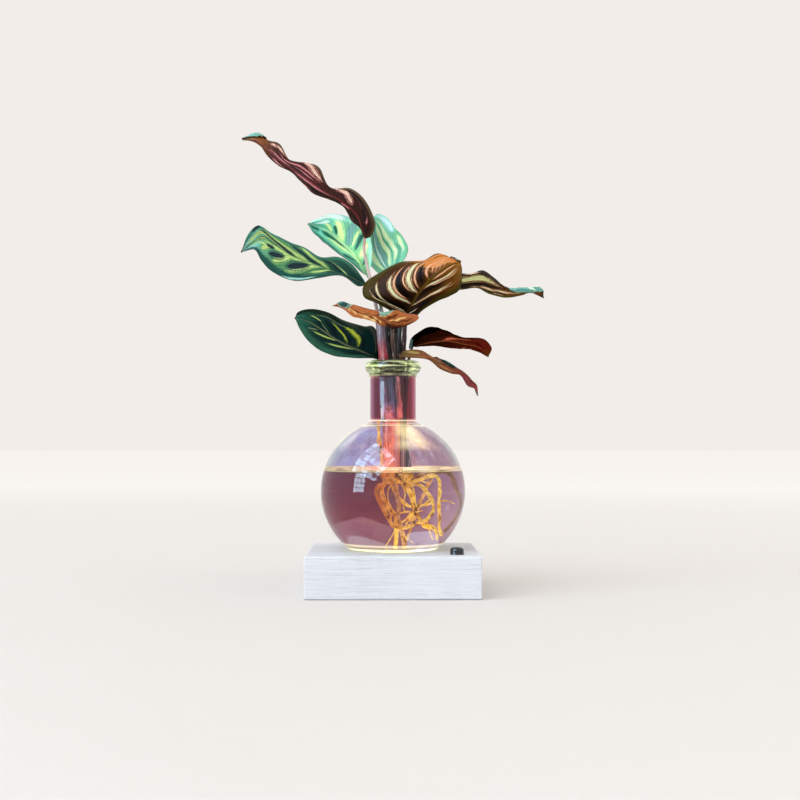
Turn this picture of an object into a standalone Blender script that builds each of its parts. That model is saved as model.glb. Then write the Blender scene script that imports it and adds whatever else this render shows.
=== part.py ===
"""A calathea grown in water: a round flask on a lit wooden stand, with stems, roots and leaves.

Metres, +Z up. The origin is the middle of the stand's underside, and the front faces -Y.
"""
import math

import bmesh
import bpy
from mathutils import Vector

MM = 0.001
FIT = 0.3 * MM                  # air left between two pieces that touch

# Stand
STAND_SIDE = 100 * MM
STAND_HEIGHT = 24.2 * MM
STAND_EDGE = 0.8 * MM
REBATE_SIDE = 93 * MM
REBATE_DEPTH = 2.5 * MM
POCKET_SIDE = 66 * MM
POCKET_TOP = 18 * MM
COVER_THICKNESS = REBATE_DEPTH - FIT

# Light
LIGHT_HOLE_RADIUS = 20 * MM
LENS_RADIUS = 22 * MM
LENS_THICKNESS = 2.1 * MM
LENS_SEAT_TOP = 21.6 * MM
BOARD_RADIUS = 24 * MM
BOARD_THICKNESS = 1.3 * MM
LED_SIZE = (3.5 * MM, 3.5 * MM, 1.0 * MM)
LED_RING_RADIUS = 12 * MM
LED_COUNT = 4

# Push button, which sinks when it is pressed
BUTTON_X = 36.5 * MM
BUTTON_Y = -36 * MM
BUTTON_RADIUS = 4 * MM
BUTTON_TOP = 28.2 * MM
BUTTON_FLANGE_RADIUS = 5 * MM
BUTTON_FLANGE_BOTTOM = 19.6 * MM
BUTTON_FLANGE_THICKNESS = 1 * MM
BUTTON_SEAT = 21.2 * MM
SWITCH_SIDE = 12 * MM
SWITCH_HEIGHT = 10 * MM
SWITCH_TOP = 17.6 * MM
SWITCH_POCKET_SIDE = 14 * MM

# Batteries: three of the size 44 mm by 10.4 mm
CELL_RADIUS = 5.2 * MM
CELL_LENGTH = 44 * MM
CELL_PITCH = 11.6 * MM
CELL_HEIGHT = 9.2 * MM
TRAY_WALL = 1.2 * MM
TRAY_LENGTH = 47.6 * MM
TRAY_WIDTH = 38 * MM
TRAY_TOP = 9 * MM

# Cover screws
SCREW_OFFSET = 40 * MM
SCREW_HEAD_RADIUS = 2.4 * MM
SCREW_HEAD_THICKNESS = 1.2 * MM
SCREW_SHANK_RADIUS = 1.1 * MM
SCREW_LENGTH = 10 * MM

# Flask
GLOBE_CENTRE = 59 * MM
GLOBE_RADIUS = 43.2 * MM
GLASS = 1.8 * MM
FLASK_BOTTOM = STAND_HEIGHT + FIT
FOOT_RADIUS = 27.6 * MM
NECK_RADIUS = 13.7 * MM
NECK_BORE = 11.8 * MM
NECK_FILLET = 4 * MM
BEAD_RADIUS = 4.2 * MM
BEAD_OUTER = 16.8 * MM
BEAD_CENTRE = 133 * MM
NECK_START = 104 * MM           # the globe's solid ends here, and the neck's begins
FLASK_STEPS = 28
WATER_LEVEL = 71.8 * MM
ROOM_OVERLAP = 1.2 * MM         # how far the room around a root reaches up into the crown's

# Crown, where the stems and the roots meet
CROWN_CENTRE = (1.8 * MM, 0.0)
CROWN_RADIUS = 8 * MM
CROWN_BOTTOM = 62.6 * MM
CROWN_TOP = 68 * MM

LEAF_THICKNESS = 0.6 * MM
LEAF_ROWS = 14                  # along a leaf
LEAF_COLUMNS = 6                # across a leaf
LEAF_START = 0.012              # share of the rib left bare at the stalk
LEAF_END = 0.985
LEAF_BULGE = 0.12               # how far each half swells, as a share of its width

# Stalks, from the crown up: points (x, y, z) in mm, then the radius at the two ends in mm.
STALKS = {
    "shoot_main": ([(-1.6, -2.6, 68.3), (-1.8, -3.2, 92), (-2.0, -3.6, 116), (-5.6, -4.2, 138),
                    (-7.4, -3.4, 156), (-8.2, -2.4, 167)], 3.3, 2.5),
    "stalk_crest": ([(-9.6, -3.7, 167.4), (-12, -4, 177), (-14.4, -4, 189), (-17.2, -4, 202),
                     (-17, -2.4, 209.9)], 0.9, 0.7),
    "stalk_west": ([(-9.2, -0.9, 167.4), (-11.5, 1, 174), (-15.6, 2, 182.6)], 0.9, 0.8),
    "stalk_mint_left": ([(-6.4, -1.6, 167.4), (-8.5, 4.5, 175), (-12, 8.5, 183), (-14.7, 10, 188.6)],
                        0.9, 0.8),
    "stalk_mint_right": ([(-1.6, 5.2, 68.3), (-1.8, 6.4, 95), (-1.8, 7.2, 125), (-1.4, 8.6, 155),
                          (-1.6, 10.6, 176), (-2, 12, 191.6)], 1.3, 0.8),
    "stalk_centre": ([(4.8, 1.0, 68.3), (5.4, 0.8, 95), (5.6, -0.6, 120), (6.0, -4.4, 138),
                      (6.6, -9, 152), (6.2, -12, 160.4)], 1.6, 0.9),
    "stalk_east": ([(3.6, 5.8, 68.3), (4.0, 6.6, 95), (4.4, 6.2, 125), (6.2, 4.4, 150),
                    (8.6, 2.4, 171.6)], 1.3, 0.9),
    "stalk_copper": ([(2.9, -5.0, 68.3), (3.1, -5.6, 95), (3.0, -6.6, 120), (0.6, -9.8, 138),
                      (-0.6, -12.6, 148), (0, -13.8, 154.6)], 1.2, 0.8),
    "stalk_low_left": ([(-4.6, 2.8, 68.3), (-5.2, 4.0, 95), (-5.6, 4.6, 118), (-7.2, 3.2, 132),
                        (-8, 2.1, 137.7)], 1.2, 1.0),
    "stalk_low_right": ([(7.9, -2.2, 68.3), (8.5, -2.2, 95), (8.6, -2.2, 120), (9.2, -3, 136),
                         (11, -4, 144.6)], 1.1, 0.8),
    "stalk_strap": ([(6.0, -5.6, 68.3), (6.7, -6.9, 95), (6.7, -6.9, 118), (5.8, -7.4, 133),
                     (4.2, -8.9, 139.8)], 1.2, 0.9),
    "old_sheath": ([(7.4, 2.4, 68.3), (8.4, 2.6, 82), (10.0, 2.8, 92)], 0.9, 0.5),
}
WET_STALKS = [name for name, stalk in STALKS.items() if stalk[0][0][2] < 70]

# Roots, from the crown down: points (x, y, z) in mm, then the radius at the two ends in mm.
ROOTS = {
    "root_left_loop": ([(-3.4, -3.4, 61.8), (-6.8, -5.2, 59.4), (-8.6, -7, 54), (-4.6, -8, 48),
                        (-1.5, -9, 44), (4, -10, 41.4), (11, -9, 42.5)], 1.0, 0.7),
    "root_left_thick": ([(-3.6, 1.4, 62.0), (-5.0, 1, 57), (-1.5, 0, 51), (1.2, -1, 46),
                         (1.5, -1, 38), (2, -1, 31)], 1.2, 0.8),
    "root_front": ([(1.8, -5.4, 61.8), (3.4, -10, 56.6), (4.6, -13, 50), (5.4, -13.5, 40),
                    (5, -12, 32)], 1.0, 0.7),
    "root_centre": ([(4.6, -1.6, 61.9), (7.4, -3.4, 56), (10.4, -4, 50), (14, -4, 43),
                     (18.5, -3.6, 40.6), (22, -3, 38.8), (23.4, -2.4, 35)], 1.3, 0.8),
    "root_arc": ([(6.0, -4.4, 61.6), (9.6, -8, 59.6), (14, -10.6, 59.4), (17.6, -11.2, 56.4), (20.6, -11, 51.6),
                  (19.6, -11, 46), (16, -10.6, 42.6)], 1.2, 0.7),
    "root_right_drop": ([(7.6, 0.6, 61.8), (10.4, 1.4, 60.4), (15, 2.6, 62.6), (20, 3, 63.4), (22, 3, 58), (22, 3, 48),
                         (24, 3.4, 39)], 0.9, 0.7),
    "root_far_right": ([(6.2, 4.4, 61.8), (9.6, 6.6, 60.4), (16, 9.4, 63.6), (25, 10, 65.4), (29.4, 9.6, 58.6),
                        (31, 9, 53), (28, 9, 46), (24, 9, 42.4)], 1.0, 0.6),
    "root_pale": ([(3.2, 4.6, 61.8), (8, 9, 58.6), (14, 11, 54), (12.6, 13, 47), (8, 14, 42),
                   (6, 13, 34)], 0.9, 0.6),
    "root_back": ([(-0.6, 5.2, 61.8), (-1.6, 10, 57), (-2, 13, 50), (1, 15, 42), (6, 16, 36.6)],
                  1.0, 0.6),
    "root_middle": ([(1.2, 0.8, 61.9), (3.2, 2.2, 56), (6, 3.6, 50), (6, 4, 42), (5.4, 4.4, 32)],
                    1.1, 0.7),
}
ROOT_POINTS = 11                # tube points read from each root's smooth line

# Leaves: the rib from stalk to tip, then the left and the right margin, seen from the front
# with the tip ahead. Points (x, y, z) in mm; both margins also meet the rib's two ends.
LEAVES = {
    "leaf_crest": dict(
        rib=[(-17, -2, 210), (-19, -4, 217), (-22, -6, 224), (-30, -8, 231), (-42, -9, 238),
             (-56, -9, 248), (-66, -8, 255), (-75, -6, 263), (-82, -4, 269), (-91, -2, 270)],
        left=[(-19, 0, 217), (-23, 2, 221), (-28, 4, 227), (-32, 0, 232), (-40, 0, 237),
              (-50, 4, 240), (-55, 4, 245), (-59, -2, 251), (-70, 2, 256), (-75, 4, 260),
              (-78, 0, 266), (-85, 0, 270)],
        right=[(-13, 2, 213), (-10, 4, 221), (-16, 6, 232), (-26, 4, 242), (-38, 0, 243),
               (-45, 4, 253), (-52, 6, 258), (-62, 0, 259), (-69, 4, 268), (-76, 6, 272),
               (-82, 2, 274)]),
    "leaf_west": dict(
        rib=[(-16, 2, 183), (-26, -4, 187), (-37, -10, 190), (-49, -16, 194), (-59, -21, 197),
             (-69, -25, 203), (-77, -28, 206), (-88, -30, 198)],
        left=[(-21, -4, 182), (-30, -12, 187), (-44, -20, 184), (-57, -27, 182), (-69, -31, 187),
              (-76, -32, 193), (-80, -33, 199)],
        right=[(-19, 1, 188), (-25, -2, 195), (-33, -6, 199), (-43, -13, 198), (-52, -16, 203),
               (-60, -20, 205), (-71, -24, 210), (-78, -29, 214), (-84, -33, 207)]),
    "leaf_mint_left": dict(
        rib=[(-15, 10, 189), (-23, 13, 202), (-32, 14, 211), (-41, 12, 218), (-52, 8, 221)],
        left=[(-21, 8, 193), (-29, 8, 200), (-37, 8, 206), (-43, 7, 210), (-48, 6, 215)],
        right=[(-13, 8, 200), (-14, 9, 213), (-20, 10, 222), (-29, 9, 226), (-38, 8, 227),
               (-46, 7, 224)]),
    "leaf_mint_right": dict(
        rib=[(-2, 12, 192), (-6, 18, 198), (-9, 23, 204), (-11, 25, 211), (-12, 25, 220),
             (-12, 23, 228)],
        left=[(-8, 14, 191), (-13, 20, 196), (-18, 23, 203), (-20, 24, 211), (-18, 23, 220)],
        right=[(5, 9, 197), (9, 11, 206), (6, 13, 214), (1, 14, 220), (-4, 16, 226),
               (-9, 19, 229)]),
    "leaf_centre": dict(
        rib=[(6, -12, 161), (11, -18, 169), (16, -22, 176), (22, -25, 183), (28, -25, 188),
             (34, -22, 192), (40, -17, 194)],
        left=[(0, -13, 165), (-9, -14, 170), (-17, -14, 174), (-17, -12, 182), (-8, -11, 189),
              (4, -12, 195), (17, -13, 196), (26, -12, 200), (34, -13, 197)],
        right=[(12, -14, 161), (18, -16, 166), (26, -18, 171), (33, -19, 174), (39, -18, 178),
               (41, -15, 187)]),
    "leaf_east": dict(
        rib=[(9, 2, 172), (19, 4, 179), (30, 6, 183), (41, 7, 185), (53, 8, 186), (63, 8, 183),
             (73, 6, 180), (82, 4, 179), (91, 2, 175)],
        left=[(13, 8, 178), (24, 12, 186), (36, 14, 191), (47, 14, 192), (55, 14, 194),
              (62, 10, 188), (69, 3, 182), (80, -3, 181), (89, -4, 180)],
        right=[(16, 8, 175), (29, 11, 179), (41, 12, 181), (51, 13, 183), (59, 12, 179),
               (68, 10, 176), (78, 8, 177), (85, 5, 179)]),
    "leaf_copper": dict(
        rib=[(0, -14, 155), (-4, -22, 158), (-9, -30, 161), (-17, -38, 163), (-25, -45, 165),
             (-34, -50, 165)],
        left=[(-2, -12, 157), (-8, -18, 158), (-16, -26, 159), (-23, -35, 161), (-29, -44, 164)],
        right=[(8, -20, 157), (15, -28, 160), (9, -36, 161), (1, -42, 164), (-6, -46, 162),
               (-13, -50, 162), (-22, -54, 165), (-29, -54, 167)]),
    "leaf_low_left": dict(
        rib=[(-8, 2, 138), (-16, -4, 141), (-27, -12, 145), (-36, -17, 150), (-45, -22, 156),
             (-51, -25, 159), (-57, -27, 160)],
        left=[(-16, -8, 138.4), (-25, -16, 138), (-36, -21, 139), (-45, -23, 143),
              (-51, -26, 149), (-55, -27, 156)],
        right=[(-7, 6, 149), (-12, 6, 158), (-18, 0, 158), (-29, -9, 161), (-39, -17, 165),
               (-48, -22, 166), (-55, -26, 164)]),
    "leaf_low_right": dict(
        rib=[(11, -4, 145), (21, -8, 147), (33, -10, 148), (43, -10, 146), (52, -8, 144),
             (57, -5, 139)],
        left=[(11, 0, 150), (16, 3, 155), (24, 5, 158), (33, 5, 155), (42, 4, 151),
              (54, 0, 150), (59, -3, 145)],
        right=[(16, -2, 146), (25, -2, 146), (34, -3, 145), (42, -4, 144), (51, -5, 142)]),
    "leaf_strap": dict(
        rib=[(4, -9.2, 140.3), (11, -14, 140), (19, -18, 139), (27, -22, 135), (35, -25, 131),
             (41, -28, 127), (46, -30, 122), (49, -30, 115)],
        left=[(7, -8, 143), (17, -12, 142), (24, -18, 138), (32, -26, 135), (39, -31, 130),
              (44, -33, 125), (48, -32, 121)],
        right=[(6, -12, 138.4), (15, -15, 137.6), (22, -17, 136), (28, -19, 131),
               (34, -22, 128), (39, -26, 127), (43, -28, 121), (47, -30, 119)]),
}

# Colour, roughness and metallic value of each finish
FINISHES = {
    "white_washed_wood": ((0.76, 0.76, 0.80), 0.6, 0.0),
    "clear_glass": ((0.90, 0.92, 0.90), 0.03, 0.0),
    "water": ((0.55, 0.38, 0.45), 0.02, 0.0),
    "frosted_lens": ((0.95, 0.90, 0.70), 0.4, 0.0),
    "black_plastic": ((0.02, 0.03, 0.04), 0.35, 0.0),
    "grey_plastic": ((0.30, 0.30, 0.32), 0.5, 0.0),
    "board_green": ((0.05, 0.20, 0.10), 0.5, 0.0),
    "led_yellow": ((0.95, 0.80, 0.35), 0.4, 0.0),
    "cell_metal": ((0.55, 0.55, 0.58), 0.3, 1.0),
    "screw_steel": ((0.60, 0.60, 0.62), 0.35, 1.0),
    "lead_rubber": ((0.30, 0.04, 0.03), 0.5, 0.0),
    "root_amber": ((0.75, 0.40, 0.12), 0.5, 0.0),
    "crown_brown": ((0.30, 0.16, 0.08), 0.6, 0.0),
    "stalk_pink": ((0.45, 0.25, 0.28), 0.45, 0.0),
    "stalk_dark": ((0.12, 0.08, 0.07), 0.45, 0.0),
    "leaf_green": ((0.05, 0.22, 0.16), 0.4, 0.0),
    "leaf_mint": ((0.30, 0.60, 0.42), 0.4, 0.0),
    "leaf_maroon": ((0.14, 0.04, 0.03), 0.45, 0.0),
    "leaf_copper_tone": ((0.50, 0.22, 0.10), 0.45, 0.0),
}
LEAF_FINISH = {
    "leaf_crest": "leaf_maroon", "leaf_west": "leaf_green", "leaf_mint_left": "leaf_mint",
    "leaf_mint_right": "leaf_mint", "leaf_centre": "leaf_maroon", "leaf_east": "leaf_maroon",
    "leaf_copper": "leaf_copper_tone", "leaf_low_left": "leaf_green",
    "leaf_low_right": "leaf_maroon", "leaf_strap": "leaf_copper_tone",
}
PINK_STALKS = ("shoot_main", "stalk_crest", "stalk_copper")


def clear_scene():
    for item in list(bpy.data.objects):
        bpy.data.objects.remove(item, do_unlink=True)


def new_collection(name):
    collection = bpy.data.collections.new(name)
    bpy.context.scene.collection.children.link(collection)
    return collection


def make_finishes():
    made = {}
    for name, (colour, roughness, metallic) in FINISHES.items():
        material = bpy.data.materials.new(name)
        material.use_nodes = True
        shader = material.node_tree.nodes["Principled BSDF"]
        shader.inputs["Base Color"].default_value = (*colour, 1.0)
        shader.inputs["Roughness"].default_value = roughness
        shader.inputs["Metallic"].default_value = metallic
        made[name] = material
    return made


def add_object(name, data, finish):
    item = bpy.data.objects.new(name, data)
    plant.objects.link(item)
    data.materials.append(finishes[finish])
    return item


def mesh_from(name, bm):
    mesh = bpy.data.meshes.new(name)
    bm.to_mesh(mesh)
    bm.free()
    return mesh


def box_mesh(name, size, bottom_centre):
    bm = bmesh.new()
    bmesh.ops.create_cube(bm, size=1.0)
    bmesh.ops.scale(bm, vec=Vector(size), verts=bm.verts)
    middle = Vector(bottom_centre) + Vector((0, 0, size[2] / 2))
    bmesh.ops.translate(bm, vec=middle, verts=bm.verts)
    return mesh_from(name, bm)


def disc_mesh(name, radius, bottom, top, place=(0.0, 0.0), segments=32):
    bm = bmesh.new()
    bmesh.ops.create_cone(bm, cap_ends=True, segments=segments, radius1=radius, radius2=radius,
                          depth=top - bottom)
    bmesh.ops.translate(bm, vec=Vector((place[0], place[1], (bottom + top) / 2)), verts=bm.verts)
    return mesh_from(name, bm)


def cutter(name, mesh):
    item = bpy.data.objects.new(name, mesh)
    item.hide_render = True
    item.display_type = "WIRE"
    cutters.objects.link(item)
    return item


def cut(item, tool):
    boolean = item.modifiers.new("cut_" + tool.name, "BOOLEAN")
    boolean.operation = "DIFFERENCE"
    boolean.object = tool


def bevel(item, width, segments=2):
    modifier = item.modifiers.new("rounded", "BEVEL")
    modifier.width = width
    modifier.segments = segments
    modifier.limit_method = "ANGLE"


def turned(name, profile, finish, steps=FLASK_STEPS, ring=False):
    """A solid turned about Z; the profile (radius, height) runs down its outer side.
    A ring's profile is a loop that stays off the axis."""
    mesh = bpy.data.meshes.new(name)
    last = len(profile) - 1
    edges = [(i, i + 1) for i in range(last)] + ([(last, 0)] if ring else [])
    mesh.from_pydata([(radius, 0, height) for radius, height in profile], edges, [])
    item = add_object(name, mesh, finish)
    screw = item.modifiers.new("turned", "SCREW")
    screw.axis = "Z"
    screw.steps = steps
    screw.render_steps = steps
    screw.use_merge_vertices = True
    screw.merge_threshold = 0.00001
    return item


def arc(radius, height, size, start, end, points):
    """Points on a circle about (radius, height), by degrees from the outward direction."""
    angles = [math.radians(start + (end - start) * i / (points - 1)) for i in range(points)]
    return [(radius + size * math.cos(a), height + size * math.sin(a)) for a in angles]


def spline_point(points, share):
    """The point at a share 0..1 of the smooth line through the given points."""
    last = len(points) - 1
    step = min(int(share * last), last - 1)
    t = share * last - step
    b, c = points[step], points[step + 1]
    a = points[step - 1] if step > 0 else 2 * b - c
    d = points[step + 2] if step + 2 <= last else 2 * c - b
    return 0.5 * (2 * b + (c - a) * t + (2 * a - 5 * b + 4 * c - d) * t * t
                  + (3 * b - a - 3 * c + d) * t ** 3)


def tube_curve(name, points, start_radius, end_radius, sides_level):
    curve = bpy.data.curves.new(name, "CURVE")
    curve.dimensions = "3D"
    curve.bevel_depth = 1.0
    curve.bevel_resolution = sides_level
    curve.use_fill_caps = True
    curve.render_resolution_u = 0
    line = curve.splines.new("POLY")
    line.points.add(len(points) - 1)
    for i, point in enumerate(points):
        line.points[i].co = (*point, 1.0)
        line.points[i].radius = start_radius + (end_radius - start_radius) * i / (len(points) - 1)
    return curve


def tube_points(route, count):
    line = [Vector(point) * MM for point in route]
    return [spline_point(line, i / (count - 1)) for i in range(count)]


def tube(name, route, start_radius, end_radius, count, sides_level, finish):
    curve = tube_curve(name, tube_points(route, count), start_radius * MM, end_radius * MM,
                       sides_level)
    return add_object(name, curve, finish)


def tube_cutter(name, route, start_radius, end_radius, count, sides_level):
    """A closed mesh around a tube, one clearance larger, which reaches past its two ends."""
    points = tube_points(route, count)
    points[0] = points[0] + (points[0] - points[1]).normalized() * ROOM_OVERLAP
    points[-1] = points[-1] + (points[-1] - points[-2]).normalized() * FIT
    curve = tube_curve(name, points, start_radius * MM + FIT, end_radius * MM + FIT, sides_level)
    source = bpy.data.objects.new(name + "_line", curve)
    cutters.objects.link(source)
    bpy.context.view_layer.update()
    ready = source.evaluated_get(bpy.context.evaluated_depsgraph_get())
    mesh = bpy.data.meshes.new_from_object(ready)
    bm = bmesh.new()
    bm.from_mesh(mesh)
    bmesh.ops.remove_doubles(bm, verts=bm.verts, dist=0.000001)
    bm.to_mesh(mesh)
    bm.free()
    item = cutter(name, mesh)
    item.matrix_world = source.matrix_world
    bpy.data.objects.remove(source, do_unlink=True)
    return item


def make_stand():
    stand = add_object("wood_base", box_mesh("wood_base", (STAND_SIDE, STAND_SIDE, STAND_HEIGHT),
                                             (0, 0, 0)), "white_washed_wood")
    bevel(stand, STAND_EDGE)
    below = -5 * MM
    button = (BUTTON_X, BUTTON_Y)
    cut(stand, cutter("rebate", box_mesh("rebate", (REBATE_SIDE, REBATE_SIDE,
                                                    REBATE_DEPTH - below), (0, 0, below))))
    cut(stand, cutter("pocket", box_mesh("pocket", (POCKET_SIDE, POCKET_SIDE,
                                                    POCKET_TOP - below), (0, 0, below))))
    cut(stand, cutter("switch_pocket", box_mesh("switch_pocket", (
        SWITCH_POCKET_SIDE, SWITCH_POCKET_SIDE, POCKET_TOP - below), (*button, below))))
    cut(stand, cutter("light_hole", disc_mesh("light_hole", LIGHT_HOLE_RADIUS, 0.01,
                                              STAND_HEIGHT + 5 * MM)))
    cut(stand, cutter("lens_seat", disc_mesh("lens_seat", LENS_RADIUS + FIT, LENS_SEAT_TOP,
                                             STAND_HEIGHT + 5 * MM)))
    cut(stand, cutter("button_hole", disc_mesh("button_hole", BUTTON_RADIUS + FIT, 0.01,
                                               STAND_HEIGHT + 5 * MM, button, 24)))
    cut(stand, cutter("flange_hole", disc_mesh("flange_hole", BUTTON_FLANGE_RADIUS + FIT, 0.01,
                                               BUTTON_SEAT, button, 24)))
    for number, place in enumerate(screw_places(), 1):
        name = "screw_bore_%d" % number
        cut(stand, cutter(name, disc_mesh(name, SCREW_SHANK_RADIUS + FIT, below,
                                          SCREW_LENGTH + 2 * MM, place, 12)))
    return stand


def screw_places():
    return [(SCREW_OFFSET, 0), (0, SCREW_OFFSET), (-SCREW_OFFSET, 0), (0, -SCREW_OFFSET)]


def make_cover():
    side = REBATE_SIDE - 2 * FIT
    cover = add_object("bottom_cover", box_mesh("bottom_cover", (side, side, COVER_THICKNESS),
                                                (0, 0, 0)), "grey_plastic")
    recess = SCREW_HEAD_THICKNESS + FIT
    for number, place in enumerate(screw_places(), 1):
        name = "cover_bore_%d" % number
        cut(cover, cutter(name, disc_mesh(name, SCREW_SHANK_RADIUS + FIT, -5 * MM, 5 * MM,
                                          place, 12)))
        name = "cover_recess_%d" % number
        cut(cover, cutter(name, disc_mesh(name, SCREW_HEAD_RADIUS + FIT, -5 * MM, recess,
                                          place, 16)))


def make_screws():
    for number, (x, y) in enumerate(screw_places(), 1):
        profile = [(0, SCREW_LENGTH), (SCREW_SHANK_RADIUS, SCREW_LENGTH - 1 * MM),
                   (SCREW_SHANK_RADIUS, SCREW_HEAD_THICKNESS),
                   (SCREW_HEAD_RADIUS, SCREW_HEAD_THICKNESS), (SCREW_HEAD_RADIUS, 0.2 * MM),
                   (SCREW_HEAD_RADIUS - 0.3 * MM, 0), (0, 0)]
        screw = turned("cover_screw_%d" % number, profile, "screw_steel", 12)
        screw.location = (x, y, 0)


def make_batteries():
    bottom = COVER_THICKNESS + FIT
    tray = add_object("battery_tray", box_mesh("battery_tray", (
        TRAY_LENGTH, TRAY_WIDTH, TRAY_TOP - bottom), (0, 0, bottom)), "grey_plastic")
    inside = (TRAY_LENGTH - 2 * TRAY_WALL, TRAY_WIDTH - 2 * TRAY_WALL, TRAY_TOP)
    cut(tray, cutter("tray_inside", box_mesh("tray_inside", inside,
                                             (0, 0, bottom + TRAY_WALL))))
    for number, row in enumerate((-1, 0, 1), 1):
        mesh = disc_mesh("battery_cell", CELL_RADIUS, -CELL_LENGTH / 2, CELL_LENGTH / 2, (0, 0), 20)
        cell = add_object("battery_cell_%d" % number, mesh, "cell_metal")
        cell.rotation_euler = (0, math.pi / 2, 0)
        cell.location = (0, row * CELL_PITCH, CELL_HEIGHT)


def make_light():
    board_top = POCKET_TOP - FIT
    add_object("led_board", disc_mesh("led_board", BOARD_RADIUS, board_top - BOARD_THICKNESS,
                                      board_top), "board_green")
    for number in range(LED_COUNT):
        angle = math.tau * (number + 0.5) / LED_COUNT
        place = (LED_RING_RADIUS * math.cos(angle), LED_RING_RADIUS * math.sin(angle),
                 board_top + FIT)
        add_object("led_%d" % (number + 1), box_mesh("led", LED_SIZE, place), "led_yellow")
    lens_bottom = LENS_SEAT_TOP + FIT
    add_object("light_lens", disc_mesh("light_lens", LENS_RADIUS, lens_bottom,
                                       lens_bottom + LENS_THICKNESS), "frosted_lens")


def make_button():
    """The cap's origin lies on the line along which it is pressed."""
    flange_top = BUTTON_FLANGE_THICKNESS
    top = BUTTON_TOP - BUTTON_FLANGE_BOTTOM
    edge = 1.2 * MM
    profile = [(0, top)] + arc(BUTTON_RADIUS - edge, top - edge, edge, 90, 0, 4) + [
        (BUTTON_RADIUS, flange_top), (BUTTON_FLANGE_RADIUS, flange_top),
        (BUTTON_FLANGE_RADIUS, 0), (0, 0)]
    cap = turned("button_cap", profile, "black_plastic", 20)
    cap.location = (BUTTON_X, BUTTON_Y, BUTTON_FLANGE_BOTTOM)
    switch = add_object("switch_body", box_mesh("switch_body", (
        SWITCH_SIDE, SWITCH_SIDE, SWITCH_HEIGHT),
        (BUTTON_X, BUTTON_Y, SWITCH_TOP - SWITCH_HEIGHT)), "grey_plastic")
    bevel(switch, 0.5 * MM, 1)


def make_leads():
    """Two short wires in the pocket: cells to switch, and switch to light board."""
    tube("lead_cells", [(24.9, -9, 8), (26.6, -15, 10), (27, -23, 12), (27.6, -30, 12.4),
                        (30.1, -32, 12.4)], 0.7, 0.7, 8, 1, "lead_rubber")
    tube("lead_board", [(30.1, -31.5, 15.2), (26.6, -28.4, 15), (22.4, -24, 14.9),
                        (18.4, -19.4, 15.2)], 0.6, 0.6, 7, 1, "lead_rubber")


def flask_inside(top):
    """The inner wall from the axis at the floor up to a height in the globe or the neck."""
    inner = GLOBE_RADIUS - GLASS
    floor = FLASK_BOTTOM + 3 * MM
    floor_radius = 22 * MM
    start = -math.degrees(math.acos((floor_radius + 3.4 * MM) / inner))
    points = [(0, floor + 1.2 * MM), (floor_radius / 2, floor + 0.7 * MM), (floor_radius, floor)]
    if top < GLOBE_CENTRE + inner * 0.9:
        return points + arc(0, GLOBE_CENTRE, inner, start,
                            math.degrees(math.asin((top - GLOBE_CENTRE) / inner)), 10)
    end = math.degrees(math.acos((NECK_BORE + 1.6 * MM) / inner))
    points += arc(0, GLOBE_CENTRE, inner, start, end, 14)
    return points + [(NECK_BORE, points[-1][1] + 3.4 * MM), (NECK_BORE, top)]


def make_flask():
    """The flask is blown in one piece. Its globe and its neck are two solids here, a fit
    apart, so that both stay hollow when things collide with them."""
    lip = 1.6 * MM
    rim_top = BEAD_CENTRE + BEAD_RADIUS
    under_bead = BEAD_CENTRE - BEAD_RADIUS
    neck = [(NECK_BORE, NECK_START + FIT), (NECK_BORE, rim_top - 2 * lip)]
    neck += arc(NECK_BORE + lip, rim_top - lip, lip, 180, 90, 4)
    neck += arc(BEAD_OUTER - BEAD_RADIUS, BEAD_CENTRE, BEAD_RADIUS, 75, -60, 8)
    neck += [(NECK_RADIUS + 0.7 * MM, under_bead - 0.3 * MM),
             (NECK_RADIUS, under_bead - 1.6 * MM), (NECK_RADIUS, NECK_START + FIT)]
    turned("glass_neck", neck, "clear_glass", ring=True)

    globe = flask_inside(NECK_START) + [(NECK_RADIUS, NECK_START)]
    shoulder = NECK_RADIUS + NECK_FILLET
    lean = math.degrees(math.acos(shoulder / (GLOBE_RADIUS + NECK_FILLET)))
    fillet_height = GLOBE_CENTRE + math.sqrt((GLOBE_RADIUS + NECK_FILLET) ** 2 - shoulder ** 2)
    globe += arc(shoulder, fillet_height, NECK_FILLET, 180, 180 + lean, 4)
    heel = 2.4 * MM
    heel_height = FLASK_BOTTOM + heel
    foot = -math.degrees(math.asin((GLOBE_CENTRE - heel_height) / GLOBE_RADIUS))
    globe += arc(0, GLOBE_CENTRE, GLOBE_RADIUS, lean - 4, foot, 14)
    globe += arc(FOOT_RADIUS - heel, heel_height, heel, -15, -90, 4)
    globe += [(FOOT_RADIUS - 5 * MM, FLASK_BOTTOM), (FOOT_RADIUS - 8 * MM, FLASK_BOTTOM + 0.5 * MM),
              (0, FLASK_BOTTOM + 1.2 * MM)]
    turned("glass_globe", globe, "clear_glass")


def crown_profile(grow):
    half = (CROWN_TOP - CROWN_BOTTOM) / 2 + grow
    flat = CROWN_RADIUS * 0.86
    return [(0, half), (flat, half), (CROWN_RADIUS + grow, half * 0.45),
            (CROWN_RADIUS + grow, -half * 0.45), (flat, -half), (0, -half)]


def make_crown():
    middle = (CROWN_TOP + CROWN_BOTTOM) / 2
    crown = turned("crown", crown_profile(0), "crown_brown", 16)
    crown.location = (*CROWN_CENTRE, middle)
    tool = turned("crown_room", crown_profile(FIT), "crown_brown", 16)
    tool.location = crown.location
    tool.hide_render = True
    tool.display_type = "WIRE"
    plant.objects.unlink(tool)
    cutters.objects.link(tool)
    return tool


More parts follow.
